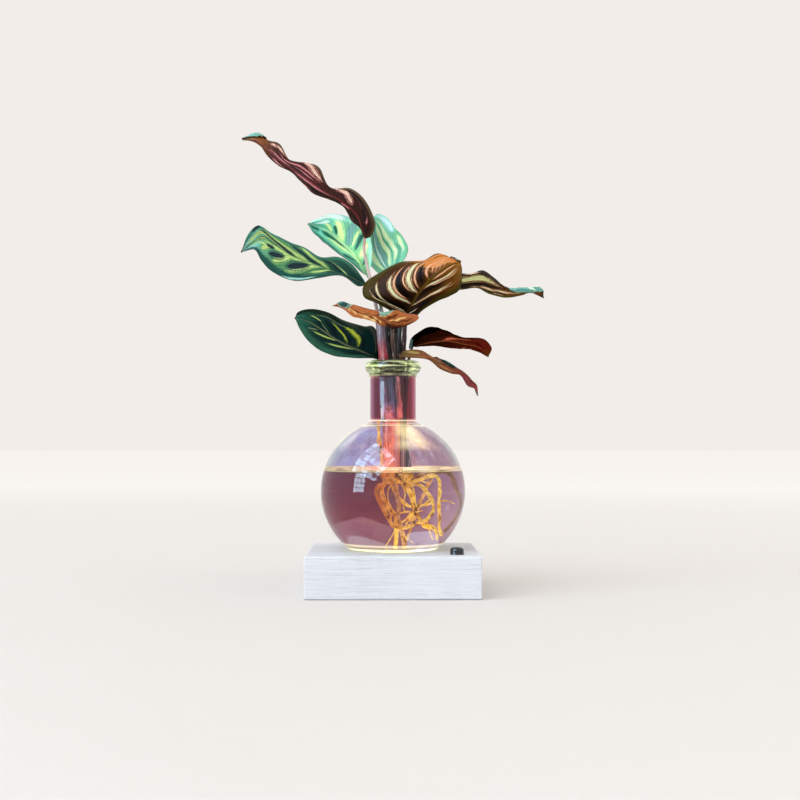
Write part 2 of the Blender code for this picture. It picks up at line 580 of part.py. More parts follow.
def make_water(crown_room):
    """Water up to its level, hollowed for the crown, the wet stalks and the roots."""
    inner = [(max(radius - FIT, 0), height) for radius, height in flask_inside(WATER_LEVEL)]
    inner = [(radius, height + (FIT if height < FLASK_BOTTOM + 6 * MM else 0))
             for radius, height in inner]
    profile = [(0, WATER_LEVEL)] + inner[::-1]
    water = turned("water", profile, "water")
    cut(water, crown_room)
    for name in WET_STALKS:
        route, start, end = STALKS[name]
        radius = start + (end - start) * 0.06
        first, second = Vector(route[0]), Vector(route[1])
        above = first + (second - first) * 0.4
        wet = tube_cutter(name + "_room", [first, (first + above) / 2, above], start, radius, 3, 2)
        cut(water, wet)
    for name, (route, start, end) in ROOTS.items():
        cut(water, tube_cutter(name + "_room", route, start, end, ROOT_POINTS, 1))


def make_stalks():
    for name, (route, start, end) in STALKS.items():
        finish = "stalk_pink" if name in PINK_STALKS else "stalk_dark"
        tube(name, route, start, end, 2 * len(route) - 1, 2, finish)


def make_roots():
    for name, (route, start, end) in ROOTS.items():
        tube(name, route, start, end, ROOT_POINTS, 1, "root_amber")


def leaf_point(lines, along, across):
    """A point of the blade: along 0..1 from stalk to tip, across -1..1 from right to left."""
    rib = spline_point(lines["rib"], along)
    side = "left" if across > 0 else "right"
    share = abs(across)
    edge = spline_point(lines[side], along)
    ahead = spline_point(lines["rib"], min(along + 0.02, 1)) - spline_point(
        lines["rib"], max(along - 0.02, 0))
    out = edge - rib
    swell = ahead.cross(out)
    if side == "right":
        swell.negate()
    if swell.length > 0:
        swell.normalize()
    return rib + out * share + swell * (out.length * LEAF_BULGE * 4 * share * (1 - share))


def make_leaf(name, outline):
    lines = {"rib": [Vector(point) * MM for point in outline["rib"]]}
    base, tip = lines["rib"][0], lines["rib"][-1]
    for side in ("left", "right"):
        lines[side] = [base] + [Vector(point) * MM for point in outline[side]] + [tip]
    bm = bmesh.new()
    bmesh.ops.create_grid(bm, x_segments=LEAF_ROWS, y_segments=LEAF_COLUMNS, size=1.0)
    for vert in bm.verts:
        along = LEAF_START + (LEAF_END - LEAF_START) * (vert.co.x + 1) / 2
        vert.co = leaf_point(lines, along, vert.co.y)
    leaf = add_object(name, mesh_from(name, bm), LEAF_FINISH[name])
    solidify = leaf.modifiers.new("thickness", "SOLIDIFY")
    solidify.thickness = LEAF_THICKNESS
    solidify.offset = 0
    leaf.data.shade_smooth()


clear_scene()
plant = new_collection("potted_calathea")
cutters = new_collection("cutters")
finishes = make_finishes()

make_stand()
make_cover()
make_screws()
make_batteries()
make_light()
make_button()
make_leads()
make_flask()
make_water(make_crown())
make_stalks()
make_roots()
for leaf_name, leaf_outline in LEAVES.items():
    make_leaf(leaf_name, leaf_outline)
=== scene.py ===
# Dresses the water-grown calathea: leaves, stalks and roots, the flask of water, and the lit stand
import math
import random

import bmesh
import bpy
from mathutils import Matrix, Quaternion, Vector, noise


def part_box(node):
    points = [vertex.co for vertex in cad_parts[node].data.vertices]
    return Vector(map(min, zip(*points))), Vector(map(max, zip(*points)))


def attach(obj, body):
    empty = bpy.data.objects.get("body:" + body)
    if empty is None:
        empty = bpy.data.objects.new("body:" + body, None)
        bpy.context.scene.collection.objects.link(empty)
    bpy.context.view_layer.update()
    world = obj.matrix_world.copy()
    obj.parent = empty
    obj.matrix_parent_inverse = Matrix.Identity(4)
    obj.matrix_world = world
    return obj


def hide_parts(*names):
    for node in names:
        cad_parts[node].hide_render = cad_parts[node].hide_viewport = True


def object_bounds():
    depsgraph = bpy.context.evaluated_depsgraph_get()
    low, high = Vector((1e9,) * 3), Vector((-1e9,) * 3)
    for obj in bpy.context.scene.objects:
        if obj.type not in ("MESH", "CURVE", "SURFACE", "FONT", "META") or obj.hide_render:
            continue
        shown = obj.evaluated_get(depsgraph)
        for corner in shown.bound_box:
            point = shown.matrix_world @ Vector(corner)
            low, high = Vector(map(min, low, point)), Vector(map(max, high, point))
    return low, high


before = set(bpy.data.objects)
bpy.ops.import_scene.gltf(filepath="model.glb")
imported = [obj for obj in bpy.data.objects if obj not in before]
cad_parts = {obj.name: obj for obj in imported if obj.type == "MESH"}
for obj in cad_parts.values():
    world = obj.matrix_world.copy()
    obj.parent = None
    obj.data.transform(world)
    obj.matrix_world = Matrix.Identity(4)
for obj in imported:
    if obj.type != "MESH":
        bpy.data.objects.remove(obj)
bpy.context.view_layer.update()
mm = 0.001
black = (0, 0, 0)


def paint(colour):  # for a colour socket, from a hex code or from parts that are linear already
    if isinstance(colour, str):
        parts = [int(colour[i:i + 2], 16) / 255 for i in (0, 2, 4)]
        colour = [part / 12.92 if part <= 0.04045 else ((part + 0.055) / 1.055) ** 2.4
                  for part in parts]
    return (*colour, 1.0)


# Shader helpers: a signal is one value in a material, and sums and products of signals become nodes
class Signal:
    def __init__(self, sheet, socket):
        self.sheet = sheet
        self.socket = socket

    def calc(self, operation, *others):
        return self.sheet.calc(operation, self, *others)

    def __add__(self, other):
        return self.calc("ADD", other)

    def __sub__(self, other):
        return self.calc("SUBTRACT", other)

    def __rsub__(self, other):
        return self.sheet.calc("SUBTRACT", other, self)

    def __mul__(self, other):
        return self.calc("MULTIPLY", other)

    def __truediv__(self, other):
        return self.calc("DIVIDE", other)

    def __pow__(self, other):
        return self.calc("POWER", other)

    def __abs__(self):
        return self.calc("ABSOLUTE")

    def ramp(self, low, high):  # 0 below low, 1 above high, smooth between; low may be above high
        return self.sheet.node("ShaderNodeMapRange", {"Value": self, "From Min": low,
                                                      "From Max": high},
                               interpolation_type="SMOOTHSTEP")


class Sheet:  # one material and what is built in it
    def __init__(self, name):
        self.material = bpy.data.materials.new(name)
        self.material.use_nodes = True
        self.tree = self.material.node_tree

    def plug(self, socket, value):
        if isinstance(value, Signal):
            self.tree.links.new(value.socket, socket)
        else:
            socket.default_value = paint(value) if socket.type == "RGBA" else value

    def node(self, kind, inputs, output=0, **settings):  # adds a node and gives one of its outputs
        made = self.tree.nodes.new(kind)
        for key, value in settings.items():
            setattr(made, key, value)
        for key, value in inputs.items():
            self.plug(made.inputs[key], value)
        return Signal(self, made.outputs[output])

    def calc(self, operation, *values):
        return self.node("ShaderNodeMath", dict(enumerate(values)), operation=operation)

    def mix(self, share, first, second):
        return self.node("ShaderNodeMix", {0: share, 6: first, 7: second}, 2, data_type="RGBA")

    def place(self):
        return self.node("ShaderNodeTexCoord", {}, "Object")

    def parts(self, vector):
        made = self.node("ShaderNodeSeparateXYZ", {0: vector})
        return [Signal(self, output) for output in made.socket.node.outputs]

    def joined(self, x, y, z):
        return self.node("ShaderNodeCombineXYZ", {0: x, 1: y, 2: z})

    def cloud(self, vector, scale, detail=3, roughness=0.5, distortion=0):
        if isinstance(scale, tuple):  # drawn out, with a scale for each axis
            vector = self.node("ShaderNodeMapping", {"Vector": vector, "Scale": scale})
            scale = 1
        return self.node("ShaderNodeTexNoise", {"Vector": vector, "Scale": scale, "Detail": detail,
                                                "Roughness": roughness, "Distortion": distortion})

    def colours(self, share, stops):
        made = self.node("ShaderNodeValToRGB", {0: share})
        elements = made.socket.node.color_ramp.elements
        while len(elements) < len(stops):
            elements.new(1)
        for element, (place, colour) in zip(elements, stops.items()):
            element.position = place
            element.color = paint(colour)
        return made

    def finish(self, **sockets):
        shader = self.tree.nodes["Principled BSDF"]
        for name, value in sockets.items():
            self.plug(shader.inputs[name.replace("_", " ")], value)
        return self.material

    def bump(self, height, strength, distance):
        self.finish(Normal=self.node("ShaderNodeBump", {"Strength": strength, "Distance": distance,
                                                        "Height": height}))


def band(value, middle, reach):  # 1 at the middle, 0 a reach away
    return abs(value - middle).ramp(reach, reach * 0.35)


# Mesh helpers
def addObject(name, bm, materials):
    mesh = bpy.data.meshes.new(name)
    bm.to_mesh(mesh)
    bm.free()
    mesh.shade_smooth()
    for material in materials:
        mesh.materials.append(material)
    made = bpy.data.objects.new(name, mesh)
    bpy.context.scene.collection.objects.link(made)
    return made


def addPiece(name, bm, materials, nodes=(), body="root", closed=True):
    if closed:
        bmesh.ops.recalc_face_normals(bm, faces=bm.faces)
    piece = addObject(name, bm, materials)
    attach(piece, body)
    if nodes:
        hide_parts(*nodes)
    return piece


def dress(material, *nodes):
    for node in nodes:
        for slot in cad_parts[node].material_slots:
            slot.material = material


def turn(profile, steps):  # a closed solid turned about the upright axis, from a profile in mm
    bm = bmesh.new()
    verts = [bm.verts.new((radius * mm, 0, height * mm)) for radius, height in profile]
    edges = [bm.edges.new(pair) for pair in zip(verts, verts[1:])]
    bmesh.ops.spin(bm, geom=verts + edges, cent=(0, 0, 0), axis=(0, 0, 1), angle=math.tau,
                   steps=steps, use_merge=True)
    bmesh.ops.remove_doubles(bm, verts=bm.verts, dist=0.002 * mm)
    return bm


def arc(radius, height, size, start, end, points):
    angles = [math.radians(start + (end - start) * i / (points - 1)) for i in range(points)]
    return [(radius + size * math.cos(a), height + size * math.sin(a)) for a in angles]


def along(points, share):  # the point at a share 0..1 of the smooth line through the points
    last = len(points) - 1
    step = min(int(share * last), last - 1)
    t = share * last - step
    b, c = points[step], points[step + 1]
    a = points[step - 1] if step > 0 else 2 * b - c
    d = points[step + 2] if step + 2 <= last else 2 * c - b
    return 0.5 * (2 * b + (c - a) * t + (2 * a - 5 * b + 4 * c - d) * t * t
                  + (3 * b - a - 3 * c + d) * t ** 3)


knots = 300  # how close the uneven spots of a tube lie, per metre


def tube(bm, route, startRadius, endRadius, rings, sides, wobble, seed):
    line = [Vector(point) * mm for point in route]
    spots = [along(line, i / (rings - 1)) for i in range(rings)]
    ring = bmesh.ops.create_circle(bm, cap_ends=True, segments=sides, radius=1)["verts"]
    unitRing = [vert.co.copy() for vert in ring]
    edges = list(ring[0].link_faces[0].edges)
    side = Vector((1, 0, 0))
    for i, spot in enumerate(spots):
        ahead = (spots[min(i + 1, rings - 1)] - spots[max(i - 1, 0)]).normalized()
        side = (side - ahead * side.dot(ahead)).normalized()
        other = ahead.cross(side)
        radius = (startRadius + (endRadius - startRadius) * i / (rings - 1)) * mm
        radius *= 1 + wobble * noise.noise(spot * knots + Vector((seed, 0, 0)))
        if i > 0:
            grown = bmesh.ops.extrude_edge_only(bm, edges=edges)["geom"]
            fresh = {item for item in grown if isinstance(item, bmesh.types.BMVert)}
            edges = [item for item in grown if isinstance(item, bmesh.types.BMEdge)
                     and fresh.issuperset(item.verts)]
            ring = [next(edge.other_vert(old) for edge in old.link_edges
                         if edge.other_vert(old) in fresh) for old in ring]
        for vert, unit in zip(ring, unitRing):
            vert.co = spot + (side * unit.x + other * unit.y) * radius
    bmesh.ops.contextual_create(bm, geom=edges)


def growPiece(name, routes, looks, shape, seed, nodes=()):  # one piece of one or more tubes
    bm = bmesh.new()
    used = []
    for number, (route, start, end, look) in enumerate(routes):
        made = len(bm.faces)
        tube(bm, route, start, end, *shape, seed + number)
        if look not in used:
            used.append(look)
        bm.faces.ensure_lookup_table()
        for face in bm.faces[made:]:
            face.material_index = used.index(look)
    addPiece(name, bm, [looks[look] for look in used], nodes)


# Stage
# The floor is darkest at its corner and fades from there; metres, but the gap below is in mm
stage = dict(near="cfcac6", far="f4f3f2", corner=(-0.3, -0.4), fadeStart=0.25, fade=1.95, size=12,
             gap=0.2, backdrop="f2ede9")


def makeStage():
    sheet = Sheet("paleFloor")
    x, y, unused = sheet.parts(sheet.place())
    cornerX, cornerY = stage["corner"]
    away = ((x - cornerX) ** 2 + (y - cornerY) ** 2) ** 0.5
    fade = sheet.mix((away - stage["fadeStart"]) / stage["fade"], stage["near"], stage["far"])
    look = sheet.finish(Base_Color=fade, Roughness=0.95, Specular_IOR_Level=0.1)
    bm = bmesh.new()
    bmesh.ops.create_grid(bm, x_segments=1, y_segments=1, size=stage["size"])
    floor = addObject("floor", bm, [look])
    floor.location.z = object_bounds()[0][2] - stage["gap"] * mm
    world = bpy.data.worlds.new("paleRoom")
    world.use_nodes = True
    world.node_tree.nodes["Background"].inputs[0].default_value = paint(stage["backdrop"])
    bpy.context.scene.world = world
    bpy.context.scene.view_settings.view_transform = "Standard"


# Lamps: size in metres, panes across and up, watts for all panes; a sun has an angle in degrees.
# A window only mirrors in the glass, and the light beside it only lights.
lamps = {
    "roofLight": dict(place=(-0.56, -0.60, 0.92), size=(1.05, 1.10), panes=(1, 1), gap=0,
                      power=12, colour=(0.76, 0.90, 1), mirrored=False),
    "roofWindow": dict(place=(-0.56, -0.60, 0.92), size=(1.05, 1.10), panes=(5, 5), gap=0.026,
                       power=38, colour=(0.46, 0.74, 1), mirrored=True, roll=-18),
    "sideLight": dict(place=(-1.05, -0.74, 0.34), angle=60, power=0.94, colour=(0.80, 0.92, 1),
                      mirrored=False),
    "sideWindow": dict(place=(-1.05, -0.74, 0.34), size=(0.44, 0.60), panes=(3, 4), gap=0.018,
                       power=8, colour=(0.56, 0.82, 1), mirrored=True),
    "rightWall": dict(place=(1, -0.6, 0.7), size=(0.5, 0.8), panes=(1, 1), gap=0, power=1.4,
                      colour=(1, 0.97, 0.94)),
    "sun": dict(place=(-0.7, -0.75, 1.5), angle=120, power=0.35, colour=(1, 0.98, 0.95)),
}
lampAim = Vector((0, 0, 0.12))


def addLamp(name, kind, lamp, shift=(0, 0, 0), size=None):
    light = bpy.data.lights.new(name, kind)
    light.color = lamp["colour"]
    light.energy = lamp["power"]
    if size:
        light.shape = "RECTANGLE"
        light.size, light.size_y = size
        light.energy /= lamp["panes"][0] * lamp["panes"][1]
    else:
        light.angle = math.radians(lamp["angle"])
    item = bpy.data.objects.new(name, light)
    item.visible_transmission = False
    if "mirrored" in lamp:
        item.visible_diffuse = not lamp["mirrored"]
        item.visible_glossy = lamp["mirrored"]
    aim = (lampAim - Vector(lamp["place"])).to_track_quat("-Z", "Y")
    aim = aim @ Quaternion((0, 0, 1), math.radians(lamp.get("roll", 0)))
    item.rotation_euler = aim.to_euler()
    item.location = Vector(lamp["place"]) + aim @ Vector(shift)
    bpy.context.scene.collection.objects.link(item)


def makeLamps():
    for name, lamp in lamps.items():
        if "size" not in lamp:
            addLamp(name, "SUN", lamp)
            continue
        wide, high = (lamp["size"][i] / lamp["panes"][i] for i in (0, 1))
        for column in range(lamp["panes"][0]):
            for row in range(lamp["panes"][1]):
                shift = ((column + 0.5) * wide - lamp["size"][0] / 2,
                         (row + 0.5) * high - lamp["size"][1] / 2, 0)
                addLamp("%s%d%d" % (name, column, row), "AREA", lamp, shift,
                        (wide - lamp["gap"], high - lamp["gap"]))


view = dict(place=(0, -0.790, 0.0889), aim=(0.0042, 0, 0.1135), lens=59.27)


def makeCamera():
    data = bpy.data.cameras.new("camera")
    data.lens = view["lens"]
    data.sensor_width = 36
    data.clip_start = 0.01
    camera = bpy.data.objects.new("camera", data)
    camera.location = view["place"]
    aim = Vector(view["aim"]) - camera.location
    camera.rotation_euler = aim.to_track_quat("-Z", "Y").to_euler()
    bpy.context.scene.collection.objects.link(camera)
    bpy.context.scene.camera = camera
    print("camera placed")


# Stand
def woodLook():
    sheet = Sheet("whiteWashedWood")
    place = sheet.place()
    grain = sheet.cloud(place, (26, 500, 900), 6, 0.72, 0.3)
    pores = sheet.cloud(place, (90, 1600, 2800), 3, 0.7)
    wash = sheet.cloud(place, 26)
    base = sheet.colours(grain, {0.30: "a4a4a8", 0.42: "c8cacf", 0.60: "d4d7de"})
    streaked = sheet.mix(pores.ramp(0.56, 0.70) * 0.6, base, "929096")
    washed = sheet.mix(wash.ramp(0.35, 0.7) * 0.25, streaked, "e0e3ea")
    sheet.bump(grain * 0.5 + pores * 0.5, 0.45, 0.4 * mm)
    return sheet.finish(Base_Color=washed, Roughness=pores * 0.2 + 0.6)


def plasticLook(name, colour, roughness):
    sheet = Sheet(name)
    speck = sheet.cloud(sheet.place(), 900, 2)
    shade = sheet.mix(speck * 0.3, colour, [part * 0.6 for part in paint(colour)[:3]])
    sheet.bump(speck, 0.08, 0.2 * mm)
    return sheet.finish(Base_Color=shade, Roughness=speck * 0.1 + roughness)


def lensLook():
    sheet = Sheet("frostedLens")
    frost = sheet.cloud(sheet.place(), 400)
    glow = sheet.mix(frost, (1, 0.72, 0.22), (1, 0.86, 0.42))
    return sheet.finish(Base_Color="faf0c8", Roughness=frost * 0.2 + 0.5,
                        Emission_Color=glow, Emission_Strength=6)


def metalLook():
    sheet = Sheet("brushedSteel")
    brushed = sheet.cloud(sheet.place(), (40, 900, 40))
    shade = sheet.mix(brushed, "8c8c91", "c8c8cd")
    return sheet.finish(Base_Color=shade, Roughness=brushed * 0.2 + 0.25, Metallic=1)


def makeStand():
    dress(woodLook(), "wood_base")
    grey = plasticLook("greyPlastic", "78787c", 0.5)
    dress(grey, "bottom_cover", "battery_tray", "switch_body")
    dress(plasticLook("boardGreen", "28643c", 0.4), "led_board")
    steel = metalLook()
    for number in range(1, 5):
        dress(steel, "cover_screw_%d" % number)
        dress(plasticLook("ledYellow%d" % number, "fae18c", 0.3), "led_%d" % number)
    dress(steel, "battery_cell_1", "battery_cell_2", "battery_cell_3")
    for node in ("lead_cells", "lead_board"):
        dress(plasticLook(node + "Sleeve", "961e19", 0.5), node)
    dress(lensLook(), "light_lens")
    print("stand dressed")


button = dict(radius=4, edge=1.9, flange=5, flangeTop=20.6, dish=0.25)


def makeButton():
    radius, edge, flange, flangeTop, dish = button.values()
    low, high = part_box("button_cap")
    foot, top = low[2] / mm, high[2] / mm
    profile = [(0, top - dish), (radius * 0.4, top - dish * 0.7)]
    profile += arc(radius - edge, top - edge, edge, 90, 0, 9)
    profile += [(radius, flangeTop), (flange, flangeTop), (flange, foot), (0, foot)]
    bm = turn(profile, 64)
    middle = ((low[0] + high[0]) / 2, (low[1] + high[1]) / 2, 0)
    bmesh.ops.translate(bm, vec=middle, verts=bm.verts)
    addPiece("button", bm, [plasticLook("blackButton", "101824", 0.16)],
             ["button_cap"], body="button")
    print("button made")


# Flask and water, in mm: radii and heights, the glass under the water, and how the water wets it
flask = dict(centre=59, globe=43.2, wall=1.8, base=3, foot=27.6, neck=13.7, bore=11.8, fillet=4,
             bead=4.2, beadOuter=16.8, beadCentre=133, lip=1.6, heel=2.4, level=71.5, climb=2.3,
             skin=0.12)


def glassLook():
    sheet = Sheet("tintedGlass")
    place = sheet.place()
    x, y, z = (part / mm for part in sheet.parts(place))
    # Glass tints by height for two sides: the pale tones, bluish in the dome, are painted light and
    # reflection, the mauve tones painted shade
    top = {0.919: "bed49e", 1: "c6dea6"}
    pale = sheet.colours(z / 140, {
        0: "f0e2e6", 0.30: "ecdce6", 0.51: "cecaec", 0.68: "c2c4f4", 0.71: "c8b0cc",
        0.735: "9e547c", 0.911: "9e547c", **top})
    shadedSideTint = sheet.colours(z / 140, {
        0: "ecdae0", 0.30: "e4ceda", 0.51: "ceb6c8", 0.70: "c4acc2", 0.735: "b03e64",
        0.911: "b03c62", **top})
    swirl = sheet.cloud(place, (34, 34, 22), 3, 0.55, 0.9)
    # painted light and shade: the wall goes from the pale tones on the left to the mauve tones on
    # the right, in swirls
    wall = sheet.mix((x / 60 + swirl * 2.2 - 0.6).ramp(0.2, 0.8), pale, shadedSideTint)
    streak = sheet.cloud(place, (50, 50, 900), 4, 0.6)
    lip = z.ramp(127.6, 128.6)
    # dark streaks on the rim: painted shade for its refraction lines
    wall = sheet.mix(lip * streak.ramp(0.49, 0.44) * 0.9, wall, "404236")
    # painted light: glowing rings at the foot and at the neck's base, and glowing streaks on the
    # rim
    rings = band(z, 28, 0.9) * 0.8 + band(z, 25.2, 1.2) + lip * streak.ramp(0.51, 0.60) * 0.7
    rings = rings + band(z, 100.9, 0.6) + band(z, 98.2, 0.5) * 0.8
    around = sheet.calc("ARCTAN2", y, x)
    # greenish patches on two sides of the dome: painted reflection
    paintedGreenReflection = (around * 2).calc("COSINE").ramp(0.6, 1) * band(z, 84, 13)
    wall = sheet.mix(paintedGreenReflection * swirl.ramp(0.35, 0.55) * 0.9, wall, "b8e2dc")
    # paler and darker rays on the dome: painted light and shade
    upward = 108 - z
    paintedRays = sheet.cloud(sheet.joined(x / upward * 5, y / upward * 5, z / 60 + swirl * 2), 1, 3, 0.6)
    dome = band(z, 88, 14)
    wall = sheet.mix(paintedRays.ramp(0.53, 0.60) * dome * 0.6, wall, "f0ecf6")
    wall = sheet.mix(paintedRays.ramp(0.45, 0.38) * dome * 0.55, wall, "9e88a0")
    # yellow glowing patches at three places around the dome: painted light
    paintedShimmer = (around * 3 + 3.66).calc("COSINE").ramp(0.35, 1) * band(z, 92, 10)
    paintedShimmer = paintedShimmer * (swirl.ramp(0.36, 0.60) * 0.7 + 0.3) * 0.9
    # the glass's emission holds only painted light
    glow = sheet.mix(rings * (streak * 1.1 + 0.5), black, (0.96, 1, 0.58))
    glow = sheet.mix(paintedShimmer, glow, (1, 0.92, 0.42))
    return sheet.finish(Base_Color=wall, Roughness=0, Emission_Color=glow, Emission_Strength=0.5,
                        Transmission_Weight=1, IOR=1.46, Coat_Weight=0.1)


def waterLook():
    sheet = Sheet("clearWater")
    place = sheet.place()
    x, y, z = (part / mm for part in sheet.parts(place))
    drift = sheet.cloud(place, 34)
    # painted shade and light: dark mauve on the left, pale on the right
    side = (x + drift * 24 - 12).ramp(-8, 32)
    shade = sheet.mix(side, "94344c", "f0e4ec")
    # paler below a ridge-shaped line: painted refraction of the pale stand
    paintedRefractionRidge = z + abs(x + 18) * 0.34 + drift * 2
    shade = sheet.mix(paintedRefractionRidge.ramp(47.4, 46.8), shade, "d6cad0")
    # near-white patches on the right: painted light
    shade = sheet.mix(drift.ramp(0.54, 0.66) * x.ramp(4, 18), shade, "fafaff")
    # bluish glowing patches low on the right: painted reflection
    patch = (band(z, 32, 7) * band(x, 17, 12)).calc("MAXIMUM", band(z, 50, 8) * band(x, 33, 6))
    patch = patch.ramp(0.25, 0.4) * drift.ramp(0.42, 0.50)
    # a dark line just under the water's edge: painted shade
    shade = sheet.mix(band(z, 70.5, 0.3) * 0.7, shade, "604628")
    # a glowing band at the water's edge: painted light
    streak = sheet.cloud(place, (90, 90, 1800))
    line = z.ramp(70.7, 71) * (streak.ramp(0.34, 0.60) * 1.3 + 0.4)
    glow = sheet.mix(line, black, (1, 1, 0.42))
    glow = sheet.mix(patch * 0.7, glow, (0.42, 0.62, 0.74))
    return sheet.finish(Base_Color=shade, Roughness=0, Emission_Color=glow, Emission_Strength=0.6,
                        Transmission_Weight=1, IOR=1.33)


def makeFlask():
    (centre, globe, wall, base, foot, neck, bore, fillet, bead, beadOuter, beadCentre, lip, heel,
     level, climb, skin) = flask.values()
    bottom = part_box("glass_globe")[0][2] / mm
    inner = globe - wall
    floor = bottom + base
    inside = [(0, floor + 1.2), (11, floor + 0.7), (20, floor), (23.4, floor + 0.5)]
    start = -math.degrees(math.acos(25.4 / inner))
    end = math.degrees(math.acos((bore + 1.6) / inner))
    profile = inside + arc(0, centre, inner, start, end, 46)
    profile += arc(bore + 2.2, profile[-1][1] + 3.2, 2.2, 232, 180, 5)
    rim = beadCentre + bead
    profile += [(bore, rim - 2 * lip)] + arc(bore + lip, rim - lip, lip, 180, 90, 8)
    profile += arc(beadOuter - bead, beadCentre, bead, 82, -62, 18)
    profile += [(neck + out, beadCentre - bead - drop) for out, drop in (
        (0.8, 0.4), (0.5, 1.1), (0, 1.9), (0, 2.9), (0, 4.2))]
    shoulder = neck + fillet
    lean = math.degrees(math.acos(shoulder / (globe + fillet)))
    turnUp = centre + math.sqrt((globe + fillet) ** 2 - shoulder ** 2)
    profile += [(neck, turnUp + 2.4), (neck, turnUp + 0.8)]
    profile += arc(shoulder, turnUp, fillet, 180, 180 + lean, 9)
    footAngle = -math.degrees(math.asin((centre - bottom - heel) / globe))
    profile += arc(0, centre, globe, lean - 2, footAngle, 84)
    profile += arc(foot - heel, bottom + heel, heel, -15, -90, 7)
    profile += [(foot - 4.5, bottom), (foot - 6.5, bottom + 0.4), (foot - 12, bottom + 0.9),
                (0, bottom + 1.2)]
    addPiece("flask", turn(profile, 200), [glassLook()], ["glass_globe", "glass_neck"])

    # The water wets the glass: its skin lies just within the wall, and climbs it at the level
    reach = inner + skin
    edge = math.asin((level + climb - centre) / reach)
    profile = [(radius, height - skin) for radius, height in inside]
    profile += arc(0, centre, reach, start, math.degrees(edge), 44)
    for i in range(1, 13):
        away = i / 12 * 5
        profile.append((reach * math.cos(edge) - away, level + climb * math.exp(-away / 1.3)))
    profile.append((0, level))
    addPiece("flaskWater", turn(profile, 128), [waterLook()], ["water"])
    makeBubbles(reach, centre)
    print("flask and water made")


# Bubbles: radii before a power that makes small ones common, the heights between which they lie,
# how clear of the wall they are, and one big bubble at the water's edge
bubbles = dict(count=46, small=0.22, large=0.75, power=1.4, low=34, high=69, clear=0.25, seed=7,
               big=(4.3, -39.5, 71.8), bigRadius=1.3)


def makeBubbles(reach, centre):  # air bubbles that cling to the inside of the wetted wall
    sheet = Sheet("airBubble")
    film = sheet.cloud(sheet.place(), 800, 2)
    look = sheet.finish(Base_Color=sheet.mix(film, "fffaec", "f0ecf0"), Roughness=0,
                        Transmission_Weight=1, IOR=0.76)
    dice = random.Random(bubbles["seed"])
    bm = bmesh.new()
    for number in range(bubbles["count"]):
        radius = dice.uniform(bubbles["small"], bubbles["large"]) ** bubbles["power"]
        height = dice.uniform(bubbles["low"], bubbles["high"])
        angle = dice.uniform(0, math.tau)
        away = math.sqrt(reach ** 2 - (height - centre) ** 2) - radius * 1.6 - bubbles["clear"]
        spot = Vector((away * math.cos(angle), away * math.sin(angle), height)) * mm
        bmesh.ops.create_icosphere(bm, subdivisions=2, radius=radius * mm,
                                   matrix=Matrix.Translation(spot))
    bmesh.ops.create_icosphere(bm, subdivisions=3, radius=bubbles["bigRadius"] * mm,
                               matrix=Matrix.Translation(Vector(bubbles["big"]) * mm))
    addPiece("bubbles", bm, [look])


# Stalks: points from the crown up in mm, the radius at the two ends, and the look
stalks = {
    "shoot_main": ([(-1.6, -2.6, 68.3), (-1.8, -3.2, 92), (-2, -3.6, 116), (-5.6, -4.2, 138),
        (-7.4, -3.4, 156), (-8.2, -2.4, 167.6)], 3.3, 2.5, "shoot"),
    "stalk_crest": ([(-9.4, -3.6, 166), (-12, -4, 177), (-14.4, -4, 189), (-17.2, -4, 202),
        (-17, -2.2, 210.5)], 1.1, 0.75, "rose"),
    "stalk_west": ([(-9, -1, 166), (-11.5, 1, 174), (-16.2, 2, 183.2)], 1, 0.8, "olive"),
    "stalk_mint_left": ([(-6.6, -1.8, 166), (-8.5, 4.5, 175), (-12, 8.5, 183),
        (-15.2, 10, 189.4)], 1, 0.8, "olive"),
    "stalk_mint_right": ([(-1.6, 5.2, 68.3), (-1.8, 6.4, 95), (-1.8, 7.2, 125), (-1.4, 8.6, 155),
        (-1.6, 10.6, 176), (-2, 12.3, 192.4)], 1.3, 0.8, "slate"),
    "stalk_centre": ([(4.8, 1, 68.3), (5.4, 0.8, 95), (5.6, -0.6, 120), (6, -4.4, 138),
        (6.6, -9, 152), (6.1, -12.3, 161.4)], 1.6, 1, "wine"),
    "stalk_east": ([(3.6, 5.8, 68.3), (4, 6.6, 95), (4.4, 6.2, 125), (6.2, 4.4, 150),
        (9.2, 2, 172.4)], 1.3, 0.9, "slate"),
    "stalk_copper": ([(2.9, -5, 68.3), (3.1, -5.6, 95), (3, -6.6, 120), (0.6, -9.8, 138),
        (-0.6, -12.6, 148), (-0.1, -14.2, 155.4)], 1.2, 0.8, "brown"),
    "stalk_low_left": ([(-4.6, 2.8, 68.3), (-5.2, 4, 95), (-5.6, 4.6, 118), (-7.2, 3.2, 132),
        (-8.4, 1.8, 138.4)], 1.2, 1, "salmon"),
    "stalk_low_right": ([(7.2, -1.6, 68.3), (7, -1.4, 95), (8, -2, 120), (9.2, -3, 136),
        (11.4, -4.2, 145.2)], 1.1, 0.8, "wine"),
    "stalk_strap": ([(6, -5.6, 68.3), (6.7, -6.9, 95), (6.7, -6.9, 118), (5.8, -7.4, 133),
        (4.3, -9.4, 140.4)], 1.2, 0.9, "tan"),
    "old_sheath": ([(8.8, -3.8, 68.3), (9, -4, 74), (8.3, -3.8, 80),
        (6.8, -3, 88.5)], 2.7, 1.1, "dead"),
}
